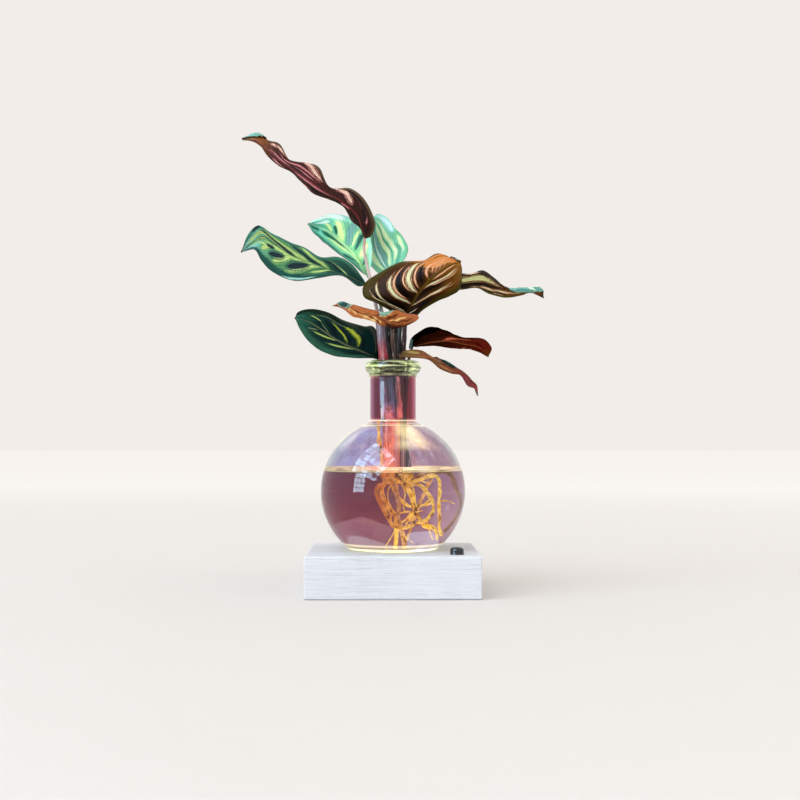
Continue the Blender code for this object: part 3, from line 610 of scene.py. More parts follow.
# The sheaths with the shaded-sheath look are near-black above the rim, a painted shade inside the
# bundle
sheathTips = [  # leaf sheaths that fill the bundle: points, radius in mm and look
    ([(0.6, -0.6, 106), (-0.8, -1.6, 126), (-2.6, -2.2, 140), (-4.4, -2.2, 150),
        (-5.4, -1.6, 158)], 2.2, "shadedSheath"),
    ([(1.8, 2.2, 104), (1.6, 2, 126), (0.6, 0.8, 140), (-0.8, 1, 152),
        (-2.6, 2.4, 166)], 2.1, "shadedSheath"),
    ([(3.6, 2.4, 106), (3.8, 2, 128), (3.4, 1.2, 142), (3.8, 1.6, 154), (5, 3, 164)], 1.9, "shadedSheath"),
    ([(0.4, 3.6, 106), (0.6, 4, 128), (1.6, 4.4, 142), (1.6, 5, 156),
        (0.4, 6.4, 172)], 1.7, "shadedSheath"),
    ([(-5.6, -2.4, 100), (-6.6, -3, 112), (-6.8, -3, 126), (-7, -2.2, 135)], 1.5, "wine"),
    ([(-1.4, 1.4, 120), (-2.4, 1.6, 136), (-3.6, 2.2, 150), (-5.2, 2.8, 166)], 1.9, "slate"),
    ([(5.2, 2.2, 120), (6.2, 1.8, 136), (7, 1.4, 150), (7.4, 1.2, 160)], 1.5, "wine"),
    ([(2.2, -2, 112), (2.6, -3.4, 132), (1.6, -5.2, 144), (0.8, -6.6, 153)], 1.7, "wine"),
    ([(10.6, -3.7, 144.2), (10.8, -3.5, 146.6), (11.2, -3.3, 149.6)], 1.3, "slate"),
]
stalkTones = {  # tones at heights in mm, then the streaks' tone and how many there are
    "shoot": ({70: "ff965a", 86: "ff8c64", 100: "fa9678", 107: "f09e88", 113: "8c747c",
        126: "6e6876", 134: "6e383e", 140: "b03646", 146: "964856", 151: "6e606c",
        168: "8c7e8a"}, "281e26", 0.62),
    "rose": ({165: "aa9694", 190: "ceb8b4", 209: "b4827e"}, "785a50", 0.4),
    "olive": ({165: "465432", 190: "6e8c54"}, "1e321e", 0.5),
    "slate": ({70: "6e828c", 100: "46545c", 138: "223036", 160: "3e6c66",
        180: "649678"}, "0e161a", 0.6),
    "wine": ({70: "5c181e", 100: "42121a", 140: "281012", 160: "2e1a12"}, "0e0608", 0.6),
    "brown": ({70: "be6850", 84: "be6e54", 98: "f09270", 108: "966458", 122: "8c6862",
        140: "3a2420", 156: "603e28"}, "180e0c", 0.6),
    "salmon": ({70: "e2825a", 110: "965446", 138: "6e4c2e"}, "3c1e18", 0.5),
    "tan": ({70: "785a4a", 92: "68463c", 104: "38181a", 125: "3e1a1e",
        140: "7e5c2e"}, "3c261a", 0.5),
    # near-black above the rim: painted shade inside the bundle
    "shadedSheath": ({104: "3e4854", 124: "303842", 136: "141214", 170: "221a18"}, "08080a", 0.6),
    "dead": ({68: "3a3c3e", 92: "28282a"}, "0a0909", 0.7),
}
paintedNeckGlow = {  # painted light and shade: glow tones of the stalks in columns over the neck's middle 20 mm, from the left
    0: (0.26, 0.80, 0.60), 0.22: (0.30, 1, 0.74), 0.27: (0.16, 0.40, 0.30),
    0.33: (0.05, 0.16, 0.12), 0.40: (0.03, 0.20, 0.16), 0.48: (0.06, 0.42, 0.34),
    0.56: (0.02, 0.16, 0.13), 0.60: (0.04, 0.2, 0.16), 0.63: (0.42, 0.80, 0.38),
    0.72: (0.50, 0.70, 0.30), 0.75: (0.04, 0.03, 0.03), 0.88: (0.03, 0.01, 0.02),
}


def stalkLook(name):
    stops, streak, share = stalkTones[name]
    low, high = min(stops), max(stops)
    sheet = Sheet("stalk" + name.capitalize())
    place = sheet.place()
    x, y, z = (part / mm for part in sheet.parts(place))
    blend = sheet.colours((z - low) / (high - low),
                          {(level - low) / (high - low): tone for level, tone in stops.items()})
    lines = sheet.cloud(place, (760, 760, 14), 3, 0.6)
    blotch = sheet.cloud(place, 130)
    shade = sheet.mix(lines.ramp(0.50, 0.66) * share, blend, streak)
    pale = 0.08 if name in ("shadedSheath", "slate") else 0.35
    shade = sheet.mix(lines.ramp(0.44, 0.34) * pale, shade, "e2ced2")
    shade = sheet.mix(blotch.ramp(0.55, 0.8) * 0.3, shade, streak)
    sheet.bump(lines, 0.5, 0.5 * mm)
    # painted light: in the neck the stalks glow in columns of tone set from left to right,
    # strongest along their light streaks
    lean = x + (z - 116) * 0.06 + (blotch - 0.5) * 2.4
    paintedNeckShare = (lines.ramp(0.54, 0.42) * 0.75 + 0.25) * z.ramp(128.6, 127)
    glow = sheet.mix(paintedNeckShare, black, sheet.colours(lean / 20 + 0.5, paintedNeckGlow))
    # a salmon glow at the foot of the neck: painted light
    salmon = z.ramp(112, 105) * lean.ramp(-0.5, -1.6).calc("MAXIMUM", band(lean, 3, 2))
    glow = sheet.mix(salmon, glow, (0.55, 1, 0.36))
    # below the neck the stalks glow in their own tones: painted light
    glow = sheet.mix(z.ramp(104, 101), glow, sheet.mix(0.3, black, shade))
    # pale teal and dark flecks of glow at the neck's foot: painted light
    speck = sheet.cloud(place, 460, 2)
    foot = band(z, 107, 7) * lean.ramp(1, -2)
    glow = sheet.mix(foot * speck.ramp(0.53, 0.57), glow, (0.26, 0.76, 0.66))
    glow = sheet.mix(foot * speck.ramp(0.46, 0.42), glow, (0.02, 0.02, 0.02))
    return sheet.finish(Base_Color=shade, Roughness=blotch * 0.2 + 0.32, Emission_Color=glow,
                        Emission_Strength=3, Specular_IOR_Level=0.4)


# How each kind of tube is cut: rings, sides, and how uneven it is
shapes = dict(stalk=(48, 20, 0.10), tip=(30, 14, 0.15), root=(110, 14, 0.42),
              rootlet=(36, 10, 0.3), upper=(60, 12, 0.4))


def makeStalks():
    looks = {name: stalkLook(name) for name in stalkTones}
    for number, (node, stalk) in enumerate(stalks.items()):
        growPiece("grown_" + node, [stalk], looks,
                  shapes["stalk"], number, [node])
    tips = [(route, radius, radius * 0.7, look) for route, radius, look in sheathTips]
    growPiece("inner_sheaths", tips, looks, shapes["tip"], 60)
    print("stalks made")


# Roots: points from the crown down in mm, the radius at the two ends, and the tone
roots = {
    "root_left_loop": ([(-3.4, -3.4, 62.2), (-6.6, -6, 61.8), (-8, -7.5, 58.8), (-7, -8, 55.4),
        (-4.6, -8.4, 51.2), (-2.2, -9, 46.6), (0.2, -9.4, 42.8), (4.5, -9.8, 41.6), (9.5, -9.6, 43),
        (14.5, -8.6, 44.4)], 1, 0.8, "amber"),
    "root_left_thick": ([(-3.6, 0.4, 62.4), (-5.4, -1, 60), (-4.4, -2, 56), (-1.2, -2.6, 50.6),
        (1.2, -3, 47.4), (1.6, -3, 42), (1.4, -2.4, 36), (0.6, -2, 30.6)], 1.35, 0.9, "amber"),
    "root_front": ([(0.4, -4.6, 62.2), (1.6, -7, 58), (2.6, -8, 53.4), (2.2, -8, 47.6),
        (3.6, -7.4, 41), (4.8, -6, 35), (5.8, -5, 31)], 0.9, 0.7, "tan"),
    "root_centre": ([(4.6, -1.6, 62.4), (7.2, -3.4, 59.4), (9, -4, 56), (9.8, -4, 51.4),
        (12, -4, 46.8), (14.6, -4, 43), (18.2, -3.8, 42.2), (20.4, -3.4, 40.2),
        (21.4, -2.6, 35.6)], 1.3, 0.9, "amber"),
    "root_arc": ([(6, -4.4, 62.2), (10.2, -7.6, 62.6), (13.8, -9.6, 61.6), (16.4, -10.6, 58.8),
        (19.2, -11, 54.4), (19.8, -11, 50.2), (17.8, -11, 46.8), (14.6, -10.8, 44.6),
        (9, -10.8, 44)], 1.1, 0.8, "amber"),
    "root_right_drop": ([(7.6, 0.6, 62.4), (13, 1.8, 64.4), (18, 2.8, 65.8), (20.6, 3, 63.6),
        (20.8, 3, 58), (20.4, 3, 53), (20.8, 3, 47), (20.6, 3.2, 43),
        (22, 3.4, 38.6)], 0.9, 0.7, "amber"),
    "root_far_right": ([(6.2, 4.4, 62.4), (12, 7, 64.6), (19, 9, 67), (24.4, 9.6, 65.6),
        (26.6, 9.6, 60.2), (28.8, 9, 55.6), (29.4, 9, 52.4), (27.4, 9, 48), (24, 9, 43.6),
        (21.8, 8, 41.4)], 1.1, 0.7, "brown"),
    "root_pale": ([(3.2, 4.6, 62.4), (10, 8, 65), (16.4, 9.6, 65.6), (14.8, 10, 61), (12, 10, 55),
        (10.4, 9.6, 50.8), (8, 9, 44), (5, 8, 36)], 0.9, 0.7, "tan"),
    "root_back": ([(-0.6, 5.2, 62.4), (1, 9, 58), (3.6, 11, 54.6), (7, 12, 52.2), (12, 12, 52.6),
        (17, 11, 53.6)], 0.8, 0.4, "amber"),
    "root_middle": ([(1.2, 0.8, 62.4), (1.8, 1.6, 57.6), (2.6, 2.2, 53), (2.4, 2.4, 47),
        (4.2, 2.6, 41), (5.2, 2.4, 35.6), (6.4, 2, 31)], 1.1, 0.8, "tan"),
}
rootlets = [  # thin side roots: points and radius in mm
    ([(9, -4, 49.6), (6.6, -5, 46.6), (3.6, -6, 44.2), (1, -6, 42.8)], 0.6),
    ([(9, -4, 49.6), (5, -4.6, 49.4), (1.2, -4, 48.6)], 0.5),
    ([(9, -4, 49.6), (8, -5, 46.4), (6, -6, 43.6)], 0.7),
    ([(9, -4, 49.6), (9.6, -6, 47), (8.6, -7, 44.4)], 0.55),
    ([(9, -4, 49.4), (12, -6, 49.6), (14, -7, 50)], 0.35),
    ([(6.4, -3, 62), (11.6, -5, 63.8), (15, -6, 63.4), (17, -6, 61.8)], 0.5),
    ([(8.8, -5, 61.8), (10, -6, 58.4), (10.4, -6, 54.8), (11, -6, 51.6)], 0.45),
    ([(16.8, -4, 55), (14, -5, 52.6), (10.6, -5, 51)], 0.4),
    ([(-2.6, -6, 52.4), (-1, -7, 47.6), (-0.8, -7, 43)], 0.35),
    ([(21, 3, 54.6), (24, 4, 54.4), (27.6, 5, 53)], 0.4),
    ([(16.4, -8, 47), (16.6, -7, 42.6), (18, -6, 39), (19.4, -5, 35.6)], 0.5),
    ([(1, -3, 41), (-1.4, -4, 36.6), (-3.4, -5, 33)], 0.3),
    ([(3.6, -6, 40), (7, -6, 36.6), (9.6, -6, 34.4)], 0.3),
    ([(-1, -5, 62), (-2.4, -8, 59), (-2.2, -9, 54.6), (-0.4, -9, 51)], 0.4),
    ([(5, -6, 61), (5.6, -8, 57), (4.8, -9, 53), (5.6, -9, 49.6)], 0.4),
]
upperRoots = [  # roots in the air above the water, beside the shoot
    ([(-8.4, -3, 101), (-8.6, -3.4, 96), (-7.8, -3.8, 90), (-7, -4, 82), (-6.4, -4, 70)], 0.95),
    ([(-9.6, -2.6, 97), (-8.8, -3, 93), (-9.4, -3.4, 89), (-7.8, -3.8, 85)], 0.5),
]
rootTones = {  # the dark, middle and pale tones, then how much they glow, which is painted light
    "husk": ("502806", "dc9628", "ffce5a", 1),
    "amber": ("603800", "deb800", "fff86e", 0.95),
    "tan": ("6e4c14", "cea238", "fae296", 0.6),
    "brown": ("462c10", "8c642e", "be965a", 0.3),
}
# The crown gathers the ends of all stalks that start below its top, and of all roots, as balls
crown = dict(level=65.2, top=70, inward=0.84, flat=0.45, stalk=2.1, root=1.9, rough=0.5, lumps=420,
             voxel=0.4)


def rootLook(name):
    dark, middle, pale, glow = rootTones[name]
    sheet = Sheet(name + "Root")
    place = sheet.place()
    patch = sheet.cloud(place, 170, 4, 0.6)
    fine = sheet.cloud(place, 900, 2)
    shade = sheet.colours(patch, {0.37: dark, 0.42: middle, 0.52: pale, 0.61: middle})
    shade = sheet.mix(fine.ramp(0.55, 0.66) * 0.55, shade, dark)
    sheet.bump(patch * 0.6 + fine * 0.4, 0.5, 0.5 * mm)
    # the roots glow in their own tones: painted light
    return sheet.finish(Base_Color=shade, Roughness=fine * 0.2 + 0.4, Emission_Color=shade,
                        Emission_Strength=glow)


def makeRoots():
    looks = {name: rootLook(name) for name in rootTones}
    for number, (node, root) in enumerate(roots.items()):
        growPiece("grown_" + node, [root], looks, shapes["root"], 40 + number, [node])
    fine = [(route, radius, radius * 0.6, "amber") for route, radius in rootlets]
    growPiece("rootlets", fine, looks, shapes["rootlet"], 80)
    upper = [(route, radius, radius * 0.8, "husk") for route, radius in upperRoots]
    growPiece("upper_roots", upper, looks, shapes["upper"], 110)
    bm = bmesh.new()
    ends = [(stalk[0][0], crown["stalk"]) for stalk in stalks.values()
            if stalk[0][0][2] < crown["top"]]
    ends += [(root[0][0], crown["root"]) for root in roots.values()]
    for (x, y, z), radius in ends:
        spot = Vector((x * crown["inward"], y * crown["inward"],
                       crown["level"] + (z - crown["level"]) * crown["flat"])) * mm
        bmesh.ops.create_icosphere(bm, subdivisions=3, radius=radius * mm,
                                   matrix=Matrix.Translation(spot))
    for vert in bm.verts:
        vert.co.z += noise.noise(vert.co * crown["lumps"]) * crown["rough"] * mm
    piece = addPiece("grown_crown", bm, [looks["amber"]], ["crown"])
    piece.modifiers.new("joined", "REMESH").voxel_size = crown["voxel"] * mm
    print("roots made")


# Leaves: the rib from stalk to tip, and the left and right margins seen from the upper side
leaves = {
    "leaf_crest": dict(
        rib=[(-17, -2, 210), (-19, -4, 217), (-22, -6, 224), (-30, -8, 231), (-42, -9, 238),
            (-56, -9, 248), (-66, -8, 255), (-75, -6, 263), (-82, -4, 269), (-91, -2, 270)],
        left=[(-19, 0, 217), (-23, 2, 221), (-28, 4, 227), (-32, 0, 232), (-40, 0, 237),
            (-50, 4, 240), (-55, 4, 245), (-59, -2, 251), (-70, 2, 256), (-75, 4, 260),
            (-78, 0, 266), (-85, 0, 270)],
        right=[(-13, 2, 213), (-10, 4, 221), (-16, 6, 232), (-26, 4, 242), (-38, 0, 243),
            (-45, 4, 253), (-52, 6, 258), (-62, 0, 259), (-69, 4, 268), (-76, 6, 272),
            (-82, 2, 274)]),
    "leaf_west": dict(
        rib=[(-16, 2, 183), (-26, -4, 187), (-37, -10, 190), (-49, -16, 194), (-59, -21, 197),
            (-69, -25, 203), (-77, -28, 206), (-88, -30, 198)],
        left=[(-21, -4, 182), (-30, -12, 187), (-44, -20, 184), (-57, -27, 182), (-69, -31, 187),
            (-76, -32, 193), (-80, -33, 199)],
        right=[(-19, 1, 188), (-25, -2, 195), (-33, -6, 199), (-43, -13, 198), (-52, -16, 203),
            (-60, -20, 205), (-71, -24, 210), (-78, -29, 214), (-84, -33, 207)]),
    "leaf_mint_left": dict(
        rib=[(-15, 10, 189), (-23, 13, 202), (-32, 14, 211), (-41, 12, 218), (-52, 8, 221)],
        left=[(-21, 8, 193), (-29, 8, 200), (-37, 8, 206), (-43, 7, 210), (-48, 6, 215)],
        right=[(-13, 8, 200), (-14, 9, 213), (-20, 10, 222), (-29, 9, 226), (-38, 8, 227),
            (-46, 7, 224)]),
    "leaf_mint_right": dict(
        rib=[(-2, 12, 192), (-6, 18, 198), (-9, 23, 204), (-11, 25, 211), (-12, 25, 220),
            (-12, 23, 228)],
        left=[(-8, 14, 191), (-13, 20, 196), (-18, 23, 203), (-20, 24, 211), (-18, 23, 220)],
        right=[(5, 9, 197), (9, 11, 206), (6, 13, 214), (1, 14, 220), (-4, 16, 226),
            (-9, 19, 229)]),
    "leaf_centre": dict(
        rib=[(6, -12, 161), (11, -18, 169), (16, -22, 176), (22, -25, 183), (28, -25, 188),
            (34, -22, 192), (40, -17, 194)],
        left=[(0, -13, 165), (-9, -14, 170), (-17, -14, 174), (-17, -12, 182), (-8, -11, 189),
            (4, -12, 195), (17, -13, 196), (26, -12, 200), (34, -13, 197)],
        right=[(12, -14, 161), (18, -16, 166), (26, -18, 171), (33, -19, 174), (39, -18, 178),
            (41, -15, 187)]),
    "leaf_east": dict(
        rib=[(9, 2, 172), (19, 4, 179), (30, 6, 183), (41, 7, 185), (53, 8, 186), (63, 8, 183),
            (73, 6, 180), (82, 4, 179), (91, 2, 175)],
        left=[(13, 8, 178), (24, 12, 186), (36, 14, 191), (47, 14, 192), (55, 14, 194),
            (62, 10, 188), (69, 3, 182), (80, -3, 181), (89, -4, 180)],
        right=[(16, 8, 175), (29, 11, 179), (41, 12, 181), (51, 13, 183), (59, 12, 179),
            (68, 10, 176), (78, 8, 177), (85, 5, 179)]),
    "leaf_copper": dict(
        rib=[(0, -14, 155), (-4, -22, 158), (-9, -30, 161), (-17, -38, 163), (-25, -45, 165),
            (-34, -50, 165)],
        left=[(-2, -12, 157), (-8, -18, 158), (-16, -26, 159), (-23, -35, 161), (-29, -44, 164)],
        right=[(8, -20, 157), (15, -28, 160), (9, -36, 161), (1, -42, 164), (-6, -46, 162),
            (-13, -50, 162), (-22, -54, 165), (-29, -54, 167)]),
    "leaf_low_left": dict(
        rib=[(-8, 2, 138), (-16, -4, 141), (-27, -12, 145), (-36, -17, 150), (-45, -22, 156),
            (-51, -25, 159), (-57, -27, 160)],
        left=[(-16, -8, 138.4), (-25, -16, 138), (-36, -21, 139), (-45, -23, 143), (-51, -26, 149),
            (-55, -27, 156)],
        right=[(-7, 6, 149), (-12, 6, 158), (-18, 0, 158), (-29, -9, 161), (-39, -17, 165),
            (-48, -22, 166), (-55, -26, 164)]),
    "leaf_low_right": dict(
        rib=[(11, -4, 145), (21, -8, 147), (33, -10, 148), (43, -10, 146), (52, -8, 144),
            (57, -5, 139)],
        left=[(11, 0, 150), (16, 3, 155), (24, 5, 158), (33, 5, 155), (42, 4, 151), (54, 0, 150),
            (59, -3, 145)],
        right=[(16, -2, 146), (25, -2, 146), (34, -3, 145), (42, -4, 144), (51, -5, 142)]),
    "leaf_strap": dict(
        rib=[(4, -9.2, 140.3), (11, -14, 140), (19, -18, 139), (27, -22, 135), (35, -25, 131),
            (41, -28, 127), (46, -30, 122), (49, -30, 115)],
        left=[(7, -8, 143), (17, -12, 142), (24, -18, 138), (32, -26, 135), (39, -31, 130),
            (44, -33, 125), (48, -32, 121)],
        right=[(6, -12, 138.4), (15, -15, 137.6), (22, -17, 136), (28, -19, 131), (34, -22, 128),
            (39, -26, 127), (43, -28, 121), (47, -30, 119)]),
}


def feather(places, reach, width):  # even strokes from the rib on both halves
    return [(place, side * 6, place + reach, side * 86, width, side * 10)
            for place in places for side in (-1, 1)]


# How each leaf is patterned, in percent of the blade's length and of a half's width. stretch:
# length over half width; veins: bands along each half, how far they sweep to the tip on the right
# and left half, and their curve; margin: where it starts, and the right and left tone; ground:
# tones from stalk to tip; layers: the tones of a stroke's middle and brim, how ragged it is, and
# the strokes, each from (u, v) to (u, v) with half its width and its bow, v below 0 on the right
leafTones = {
    "leaf_crest": dict(
        stretch=14, strand=0.9, grain=24, veins=(4.4, 1, 0.9, 0.9), shine=0.12, rib="782c2c",
        # olive-gold on the right margin: painted light shining through the edge
        margin=(0.55, 0.85, "543a08", "542c14"),
        ground={0: "463228", 10: "2c0e08", 45: "3a1008", 74: "481a0a", 88: "92541a", 100: "84684a"},
        layers=[
            # broad pale pink patches: the pattern's pale marks, brightened into painted highlights
            ("faceb8", "ce8880", 0.5, (80, -42, 65, -86, 15), (60, -80, 45, -42, 19, -5),
                (41, -82, 28, -16, 20)),
            ("de8c92", "96464a", 0.6, (29, -52, 13, -30, 10), (80, -10, 47, -14, 6),
                (73, -36, 44, -22, 5), (61, 10, 38, 4, 9), (77, 16, 60, 42, 8),
                (56, 50, 47, 72, 10), (34, 14, 27, 10, 10)),
            ("1e0402", "320a06", 0.4, (55, 24, 36, 34, 12), (70, -20, 50, -3, 7),
                (36, -70, 14, -10, 20, 10))]),
    "leaf_west": dict(
        stretch=6.5, strand=0.3, grain=22, veins=(5, 0.34, 0.28, 1.05), gloss=0.32, shine=0.16,
        rib="96b870", margin=(0.7, 0.84, "3a8068", "1a584e"),
        ground={0: "123c36", 26: "1c5446", 40: "42825c", 62: "5c9e68", 82: "70b896", 92: "96ded2",
            100: "96c8be"},
        layers=[
            ("cef092", "8cc270", 0.5, (15, -3, 38, -66, 6), (29, -3, 54, -94, 14),
                (42, -4, 78, -84, 17, 10), (28, 10, 44, 66, 10, 10), (60, -4, 88, -60, 13),
                (34, 3, 58, 80, 20), (57, 4, 68, 76, 20), (73, 10, 82, 66, 18), (36, 5, 86, 12, 13),
                (76, -60, 95, -44, 14), (76, 36, 94, 30, 13), (78, -16, 96, -10, 12)),
            ("082c34", "1a4e4a", 0.25, (42.5, 16, 59, 60, 28), (61, 26, 74, 58, 22),
                (70, 17, 79, 24, 13), (20, 14, 34, 70, 24), (53, -2, 83, -70, 19, 4),
                (34, -2, 62, -84, 18, 4), (20, -3, 42, -78, 13), (66, -2, 88, -30, 5),
                (79, -95, 87, -85, 14), (4, 10, 22, 50, 20)),
            # pale cyan strokes near the margins and at the tip: painted sheen
            ("bef6ec", "6ebeb0", 0.3, (38, 90, 58, 97, 5), (66, -94, 80, -98, 7),
                (86, 10, 98, 10, 12))]),
    "leaf_mint_left": dict(
        stretch=4, strand=0.25, grain=20, veins=(4.2, 0.2, 0.4, 1.1), shine=0.2, lift=1.7,
        rib="c8e0aa", margin=(0.72, 0.92, "aaf4dc", "327864"),
        ground={0: "78aa78", 25: "8cce9c", 55: "78cea6", 82: "6cccb0", 100: "78a096"},
        layers=[
            ("e4ffb0", "b4f0a0", 0.4, (20, -10, 26, -90, 18), (46, -3, 66, -84, 26, 5),
                (10, 20, 70, 62, 15), (66, -8, 78, -50, 12), (35.5, -5, 39, -90, 7)),
            ("76aca8", "5ca092", 0.2, (39, -3, 47, -94, 20, 5)),
            ("226454", "429276", 0.25, (30, -8, 35, -90, 12), (58, -12, 66, -44, 13),
                (40, 28, 82, 46, 20), (12, 50, 40, 84, 18), (80, 46, 98, 60, 40),
                (12, -10, 18, -70, 10)),
            ("ecface", "bedcaa", 0.3, (10, 8, 86, 10, 5.5)),
            # near-white strokes near the margins: painted sheen
            ("e6fffa", "b0f6e2", 0.3, (54, -86, 88, -92, 20), (70, -58, 92, -50, 14))]),
    "leaf_mint_right": dict(
        stretch=4, strand=0.2, grain=20, veins=(4.2, 0.6, 0.6, 1), shine=0.2, lift=1.2,
        rib="dcfae0", margin=(0.74, 0.95, "70cc9a", "7ad2a0"),
        ground={0: "6eb096", 30: "7acea8", 60: "84dab4", 100: "88deb4"},
        layers=[
            ("7cb8b2", "82ccb8", 0.2, (0, -13, 95, -13, 15), (0, 11, 95, 12, 11)),
            ("e6ffc4", "b4f4b2", 0.4, (4, -34, 90, -40, 13), (10, -60, 84, -62, 10),
                (2, 42, 97, 44, 26), (18, -74, 50, -92, 9)),
            ("54aa84", "6ec49c", 0.3, (10, -48, 90, -50, 4.5), (4, -24, 92, -26, 3),
                (5, -80, 42, -72, 10)),
            # near-white cyan strokes: painted sheen
            ("d6ffff", "aaf0ec", 0.3, (56, 66, 96, 60, 24), (50, -90, 92, -86, 14),
                (10, -4, 80, -5, 3.5))]),
    "leaf_centre": dict(
        stretch=2.4, strand=0.95, grain=34, veins=(5, 0.55, 0.46, 1.4), gloss=0.36, shine=0.05,
        # the olive margins and the ground that warms to orange at the tip: the leaf's tones, with
        # painted light shining through the blade
        rib="5c420a", margin=(0.72, 0.95, "423c04", "4a3c06"),
        ground={0: "220c02", 34: "301602", 52: "462602", 70: "6c420a", 88: "96621c", 100: "b07a32"},
        layers=[
            # orange patches at the tip: painted light shining through the blade
            ("e48e46", "a06220", 0.3, (54, 32, 104, 20, 46, 10), (58, 72, 88, 62, 20, 10)),
            ("100400", "1e0e02", 0.3, (10, 4, 38, 86, 11, 8), (24, 3, 54, 62, 9, 4),
                (42, 3, 64, 42, 6), (26, -3, 70, -34, 10, -6), (6, -10, 44, -74, 12, -12),
                (-4, 10, 22, 80, 12, 8)),
            ("ece8b8", "dea67c", 0.5, (17, 2, 51, 68, 4.6, 8), (31, 2, 66, 62, 5, 3),
                (15, -2, 68, -54, 5.6, -18), (37, -2, 90, -31, 4.6, -6), (7, 10, 37, 88, 3, 13),
                (10, -26, 24, -54, 3, -3), (23, 62, 43, 80, 3)),
            ("f8be96", "be784a", 0.5, (49, 2, 78, 49, 3.4, 3), (24, 14, 58, 66, 2.6, 7),
                (36, 2, 70, 56, 2.2, 3), (50, -4, 92, -10, 3.4), (60, 4, 88, 44, 2, 2),
                (19, -10, 74, -62, 2.6, -17), (70, 3, 94, 34, 2, 2), (44, -12, 94, -40, 2.4, -8),
                (8, 2, 30, 90, 1.4, 15), (33, 12, 60, 60, 1.6, 4), (56, 3, 82, 48, 1.6, 2),
                (65, 3, 90, 40, 1.4, 2))]),
    "leaf_east": dict(
        stretch=11, strand=0.8, grain=20, veins=(5, 0.7, 0.7, 1.2), gloss=0.36, shine=0.1,
        rib="6e4614", margin=(0.66, 0.86, "605608", "382e06"),
        ground={0: "342206", 36: "2c1604", 62: "422406", 74: "84540e", 90: "8c4a1a", 100: "603210"},
        layers=[
            ("140600", "200e04", 0.3, (30, 52, 62, 50, 17), (28, -26, 66, -10, 12, -5),
                (44, -66, 72, -50, 10, -5)),
            ("cece8a", "c49868", 0.5, (24, 2, 66, 24, 30, 6), (34, -4, 62, 2, 7)),
            ("ffdeaa", "e2a880", 0.5, (40, -62, 82, -26, 15), (58, -76, 67, -74, 7),
                (60, 8, 75, 34, 8), (35, 74, 49, 70, 5), (26, -70, 38, -66, 6))]),
    "leaf_copper": dict(
        stretch=4, strand=0.35, grain=20, veins=(6, 0.6, 0.6, 1), shine=0.14, lift=1.55,
        rib="462210", margin=(0.8, 0.96, "be6c38", "d88c50"),
        # darker at the stalk end: painted shadow
        ground={0: "1e0806", 15: "461e0e", 24: "b06636", 60: "c47844", 86: "bc6e3c", 100: "965432"},
        layers=[
            # dark brown strokes in the creases: painted shade
            ("642e12", "8c4a22", 0.5, (54, 20, 26, 56, 10), (36, -14, 40, -90, 10),
                (76, 10, 50, 34, 6), (50, -10, 56, -70, 8), (28, -20, 26, -90, 10),
                (70, -20, 62, -60, 8)),
            # golden strokes: painted highlights
            ("ffde96", "eca462", 0.6, (66, 28, 34, 58, 15), (58, 70, 32, 84, 12),
                (48, 10, 28, 36, 8), (42, -12, 46, -90, 11), (32, -16, 33, -90, 9),
                (82, 16, 62, 50, 10), (72, -10, 62, -50, 8), (88, 30, 72, 60, 8))]),
    "leaf_low_left": dict(
        stretch=4.4, strand=0.3, grain=22, veins=(5.2, 0.36, 0.42, 1.1), shine=0.07, rib="687054",
        margin=(0.55, 0.85, "022212", "306450"),
        ground={0: "042c2c", 50: "022a28", 70: "0e3e32", 90: "2c6854", 100: "46826e"},
        layers=[
            ("001a22", "022624", 0.3, (20, -6, 40, -60, 12, -5), (32, -4, 54, -56, 10, -5),
                (44, -4, 64, -48, 12, -5), (36, 4, 62, 36, 9), (60, 3, 70, 30, 8),
                (62, -10, 70, -36, 7)),
            ("b6c43c", "6e8c2c", 0.5, (25, -3, 49, -66, 8.5, -10), (35, -2, 59, -54, 5, -6)),
            ("bad06e", "548254", 0.5, (43, 2, 70, 42, 7, 3), (25, 5, 54, 54, 8, 5),
                (64, -30, 77, -50, 6)),
            ("84926e", "46644c", 0.4, (44, -60, 73, -60, 2.2, -6), (52, -2, 66, -28, 2.5),
                (62, 10, 77, 46, 5), (10, -20, 23, -64, 2, -5))]),
    "leaf_low_right": dict(
        stretch=7, strand=0.3, grain=16, veins=(7, 0.4, 0.4, 1.2), gloss=0.75, shine=0,
        rib="783e24", margin=(0.72, 0.95, "602212", "682c14"),
        ground={0: "281004", 34: "381408", 60: "541e0e", 86: "681c12", 100: "643e0a"},
        layers=[
            ("020000", "160402", 0.2, (-20, 66, 74, 90, 66)),
            ("be6046", "823824", 0.9, (32, -2, 68, 42, 7), (52, -66, 76, -20, 9)),
            ("460a06", "5a160c", 0.4, (62, -10, 90, -50, 12), (60, 30, 88, 10, 10))]),
    "leaf_strap": dict(
        stretch=15, strand=0.2, grain=14, veins=(8, 0.8, 0.8, 0.9), shine=0.14, rib="6e3e26",
        margin=(0.7, 0.95, "783c22", "6e3e22"),
        ground={0: "54461a", 14: "a07e3e", 26: "9e5c30", 42: "8c582e", 58: "964c2e", 72: "9e3e3a",
            100: "a84a48"},
        layers=[
            ("ccb260", "b08846", 0.6, (10, 30, 24, 20, 30)),
            ("ce8c58", "b86e3e", 0.6, (20, -40, 32, -30, 20), (42, -30, 60, -50, 16),
                (30, 30, 40, 20, 10)),
            ("681e24", "822c2c", 0.5, (66, 20, 92, 50, 20), (62, -60, 88, -40, 14))]),
    "tealTop": dict(
        stretch=6, strand=0.3, grain=18, veins=(5, 0.34, 0.34, 1.2), shine=0.16, rib="a0c8a0",
        margin=(0.7, 0.95, "82c8b8", "82c8b8"),
        ground={0: "1e544e", 60: "2c6c64", 86: "6eb8aa", 100: "a0d2c8"},
        layers=[
            ("dcffe2", "82c8aa", 0.5, *feather((2, 14, 26, 38, 50, 62), 28, 7))]),
    "patchRear": dict(
